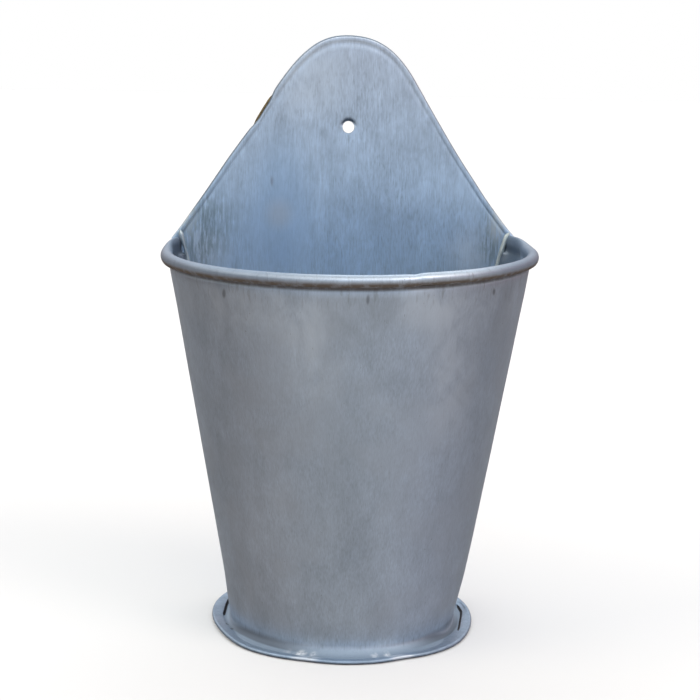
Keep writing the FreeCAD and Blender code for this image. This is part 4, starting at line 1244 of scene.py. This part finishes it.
def studio_world(terms):
    """World colour as a smooth blend of a few directions, white to the camera."""
    world = bpy.data.worlds.new("studio")
    world.use_nodes = True
    world.cycles.sampling_method = "NONE"
    t = world.node_tree
    t.nodes.clear()

    def mathn(op, a, b=None, c=None):
        n = t.nodes.new("ShaderNodeMath")
        n.operation = op
        for k, v in enumerate((a, b, c)):
            if v is None:
                continue
            if isinstance(v, (int, float)):
                n.inputs[k].default_value = v
            else:
                t.links.new(v, n.inputs[k])
        return n.outputs[0]

    co = t.nodes.new("ShaderNodeTexCoord").outputs["Generated"]
    sep = t.nodes.new("ShaderNodeSeparateXYZ")
    t.links.new(co, sep.inputs[0])
    x, y, z = sep.outputs
    elev = mathn("ARCSINE", mathn("MAXIMUM", mathn("MINIMUM", z, 1.0), -1.0))
    flat = mathn("SQRT", mathn("MAXIMUM", mathn("SUBTRACT", 1.0, mathn("MULTIPLY", z, z)), 1e-4))
    side = mathn("DIVIDE", x, flat)
    face = mathn("DIVIDE", y, flat)
    band = {}
    for i, e in enumerate(RINGS):
        n = t.nodes.new("ShaderNodeFloatCurve")
        cv = n.mapping.curves[0]
        pts = [(0.0, 0.0), (1.0, 0.0)]
        pos = lambda d: (d + 90.0) / 180.0
        keys = []
        if i > 0:
            keys.append((pos(RINGS[i - 1]), 0.0))
        keys.append((pos(e), 1.0))
        if i < len(RINGS) - 1:
            keys.append((pos(RINGS[i + 1]), 0.0))
        lo, hi = keys[0], keys[-1]
        r = t.nodes.new("ShaderNodeMapRange")
        u01 = mathn("DIVIDE", mathn("ADD", elev, math.pi / 2), math.pi)
        up = None
        if i > 0:
            a = t.nodes.new("ShaderNodeMapRange")
            a.interpolation_type = "SMOOTHSTEP"
            a.inputs["From Min"].default_value = pos(RINGS[i - 1])
            a.inputs["From Max"].default_value = pos(e)
            t.links.new(u01, a.inputs["Value"])
            up = a.outputs["Result"]
        down = None
        if i < len(RINGS) - 1:
            a = t.nodes.new("ShaderNodeMapRange")
            a.interpolation_type = "SMOOTHSTEP"
            a.inputs["From Min"].default_value = pos(e)
            a.inputs["From Max"].default_value = pos(RINGS[i + 1])
            a.inputs["To Min"].default_value = 1.0
            a.inputs["To Max"].default_value = 0.0
            t.links.new(u01, a.inputs["Value"])
            down = a.outputs["Result"]
        t.nodes.remove(n)
        t.nodes.remove(r)
        band[e] = up if down is None else down if up is None else mathn("MULTIPLY", up, down)
    lobe = {}
    for az in (0, 90, 180, -90):
        ax, ay = math.sin(math.radians(az)), -math.cos(math.radians(az))
        d = mathn("ADD", mathn("MULTIPLY", side, ax), mathn("MULTIPLY", face, ay))
        c = mathn("MAXIMUM", d, 0.0)
        lobe[az] = mathn("MULTIPLY", c, c)
    total = None
    for e, az, col in terms:
        w = band[e] if az is None else mathn("MULTIPLY", band[e], lobe[az])
        m = t.nodes.new("ShaderNodeVectorMath")
        m.operation = "SCALE"
        m.inputs[0].default_value = col
        t.links.new(w, m.inputs["Scale"])
        if total is None:
            total = m.outputs[0]
        else:
            p = t.nodes.new("ShaderNodeVectorMath")
            p.operation = "ADD"
            t.links.new(total, p.inputs[0])
            t.links.new(m.outputs[0], p.inputs[1])
            total = p.outputs[0]
    glow = t.nodes.new("ShaderNodeBackground")
    t.links.new(total, glow.inputs["Color"])
    seen = t.nodes.new("ShaderNodeBackground")
    seen.inputs["Color"].default_value = (1, 1, 1, 1)
    path = t.nodes.new("ShaderNodeLightPath")
    mx = t.nodes.new("ShaderNodeMixShader")
    out = t.nodes.new("ShaderNodeOutputWorld")
    t.links.new(path.outputs["Is Camera Ray"], mx.inputs[0])
    t.links.new(glow.outputs[0], mx.inputs[1])
    t.links.new(seen.outputs[0], mx.inputs[2])
    t.links.new(mx.outputs[0], out.inputs["Surface"])
    return world


bpy.context.scene.world = studio_world(STUDIO)

# camera, from the photograph's perspective
cy, sy = math.cos(0.0843), math.sin(0.0843)
cp, sp = math.cos(0.1929), math.sin(0.1929)
f = Vector((sy * cp, cy * cp, -sp))
r = Vector((cy, -sy, 0))
u = r.cross(f)
cr, sr = math.cos(0.0229), math.sin(0.0229)
r2, u2 = cr * r + sr * u, -sr * r + cr * u
cam_data = bpy.data.cameras.new("camera")
cam_data.sensor_width = 36.0
cam_data.lens = 1700.0 / 700.0 * 36.0
cam = bpy.data.objects.new("camera", cam_data)
bpy.context.scene.collection.objects.link(cam)
cam.matrix_world = Matrix(((r2.x, u2.x, -f.x, -0.06975),
                           (r2.y, u2.y, -f.y, -0.87479 + PLATE_Y * MM),
                           (r2.z, u2.z, -f.z, 0.30684),
                           (0, 0, 0, 1)))
bpy.context.scene.camera = cam
bpy.context.scene.view_settings.view_transform = "Standard"
bpy.context.scene.view_settings.look = "None"
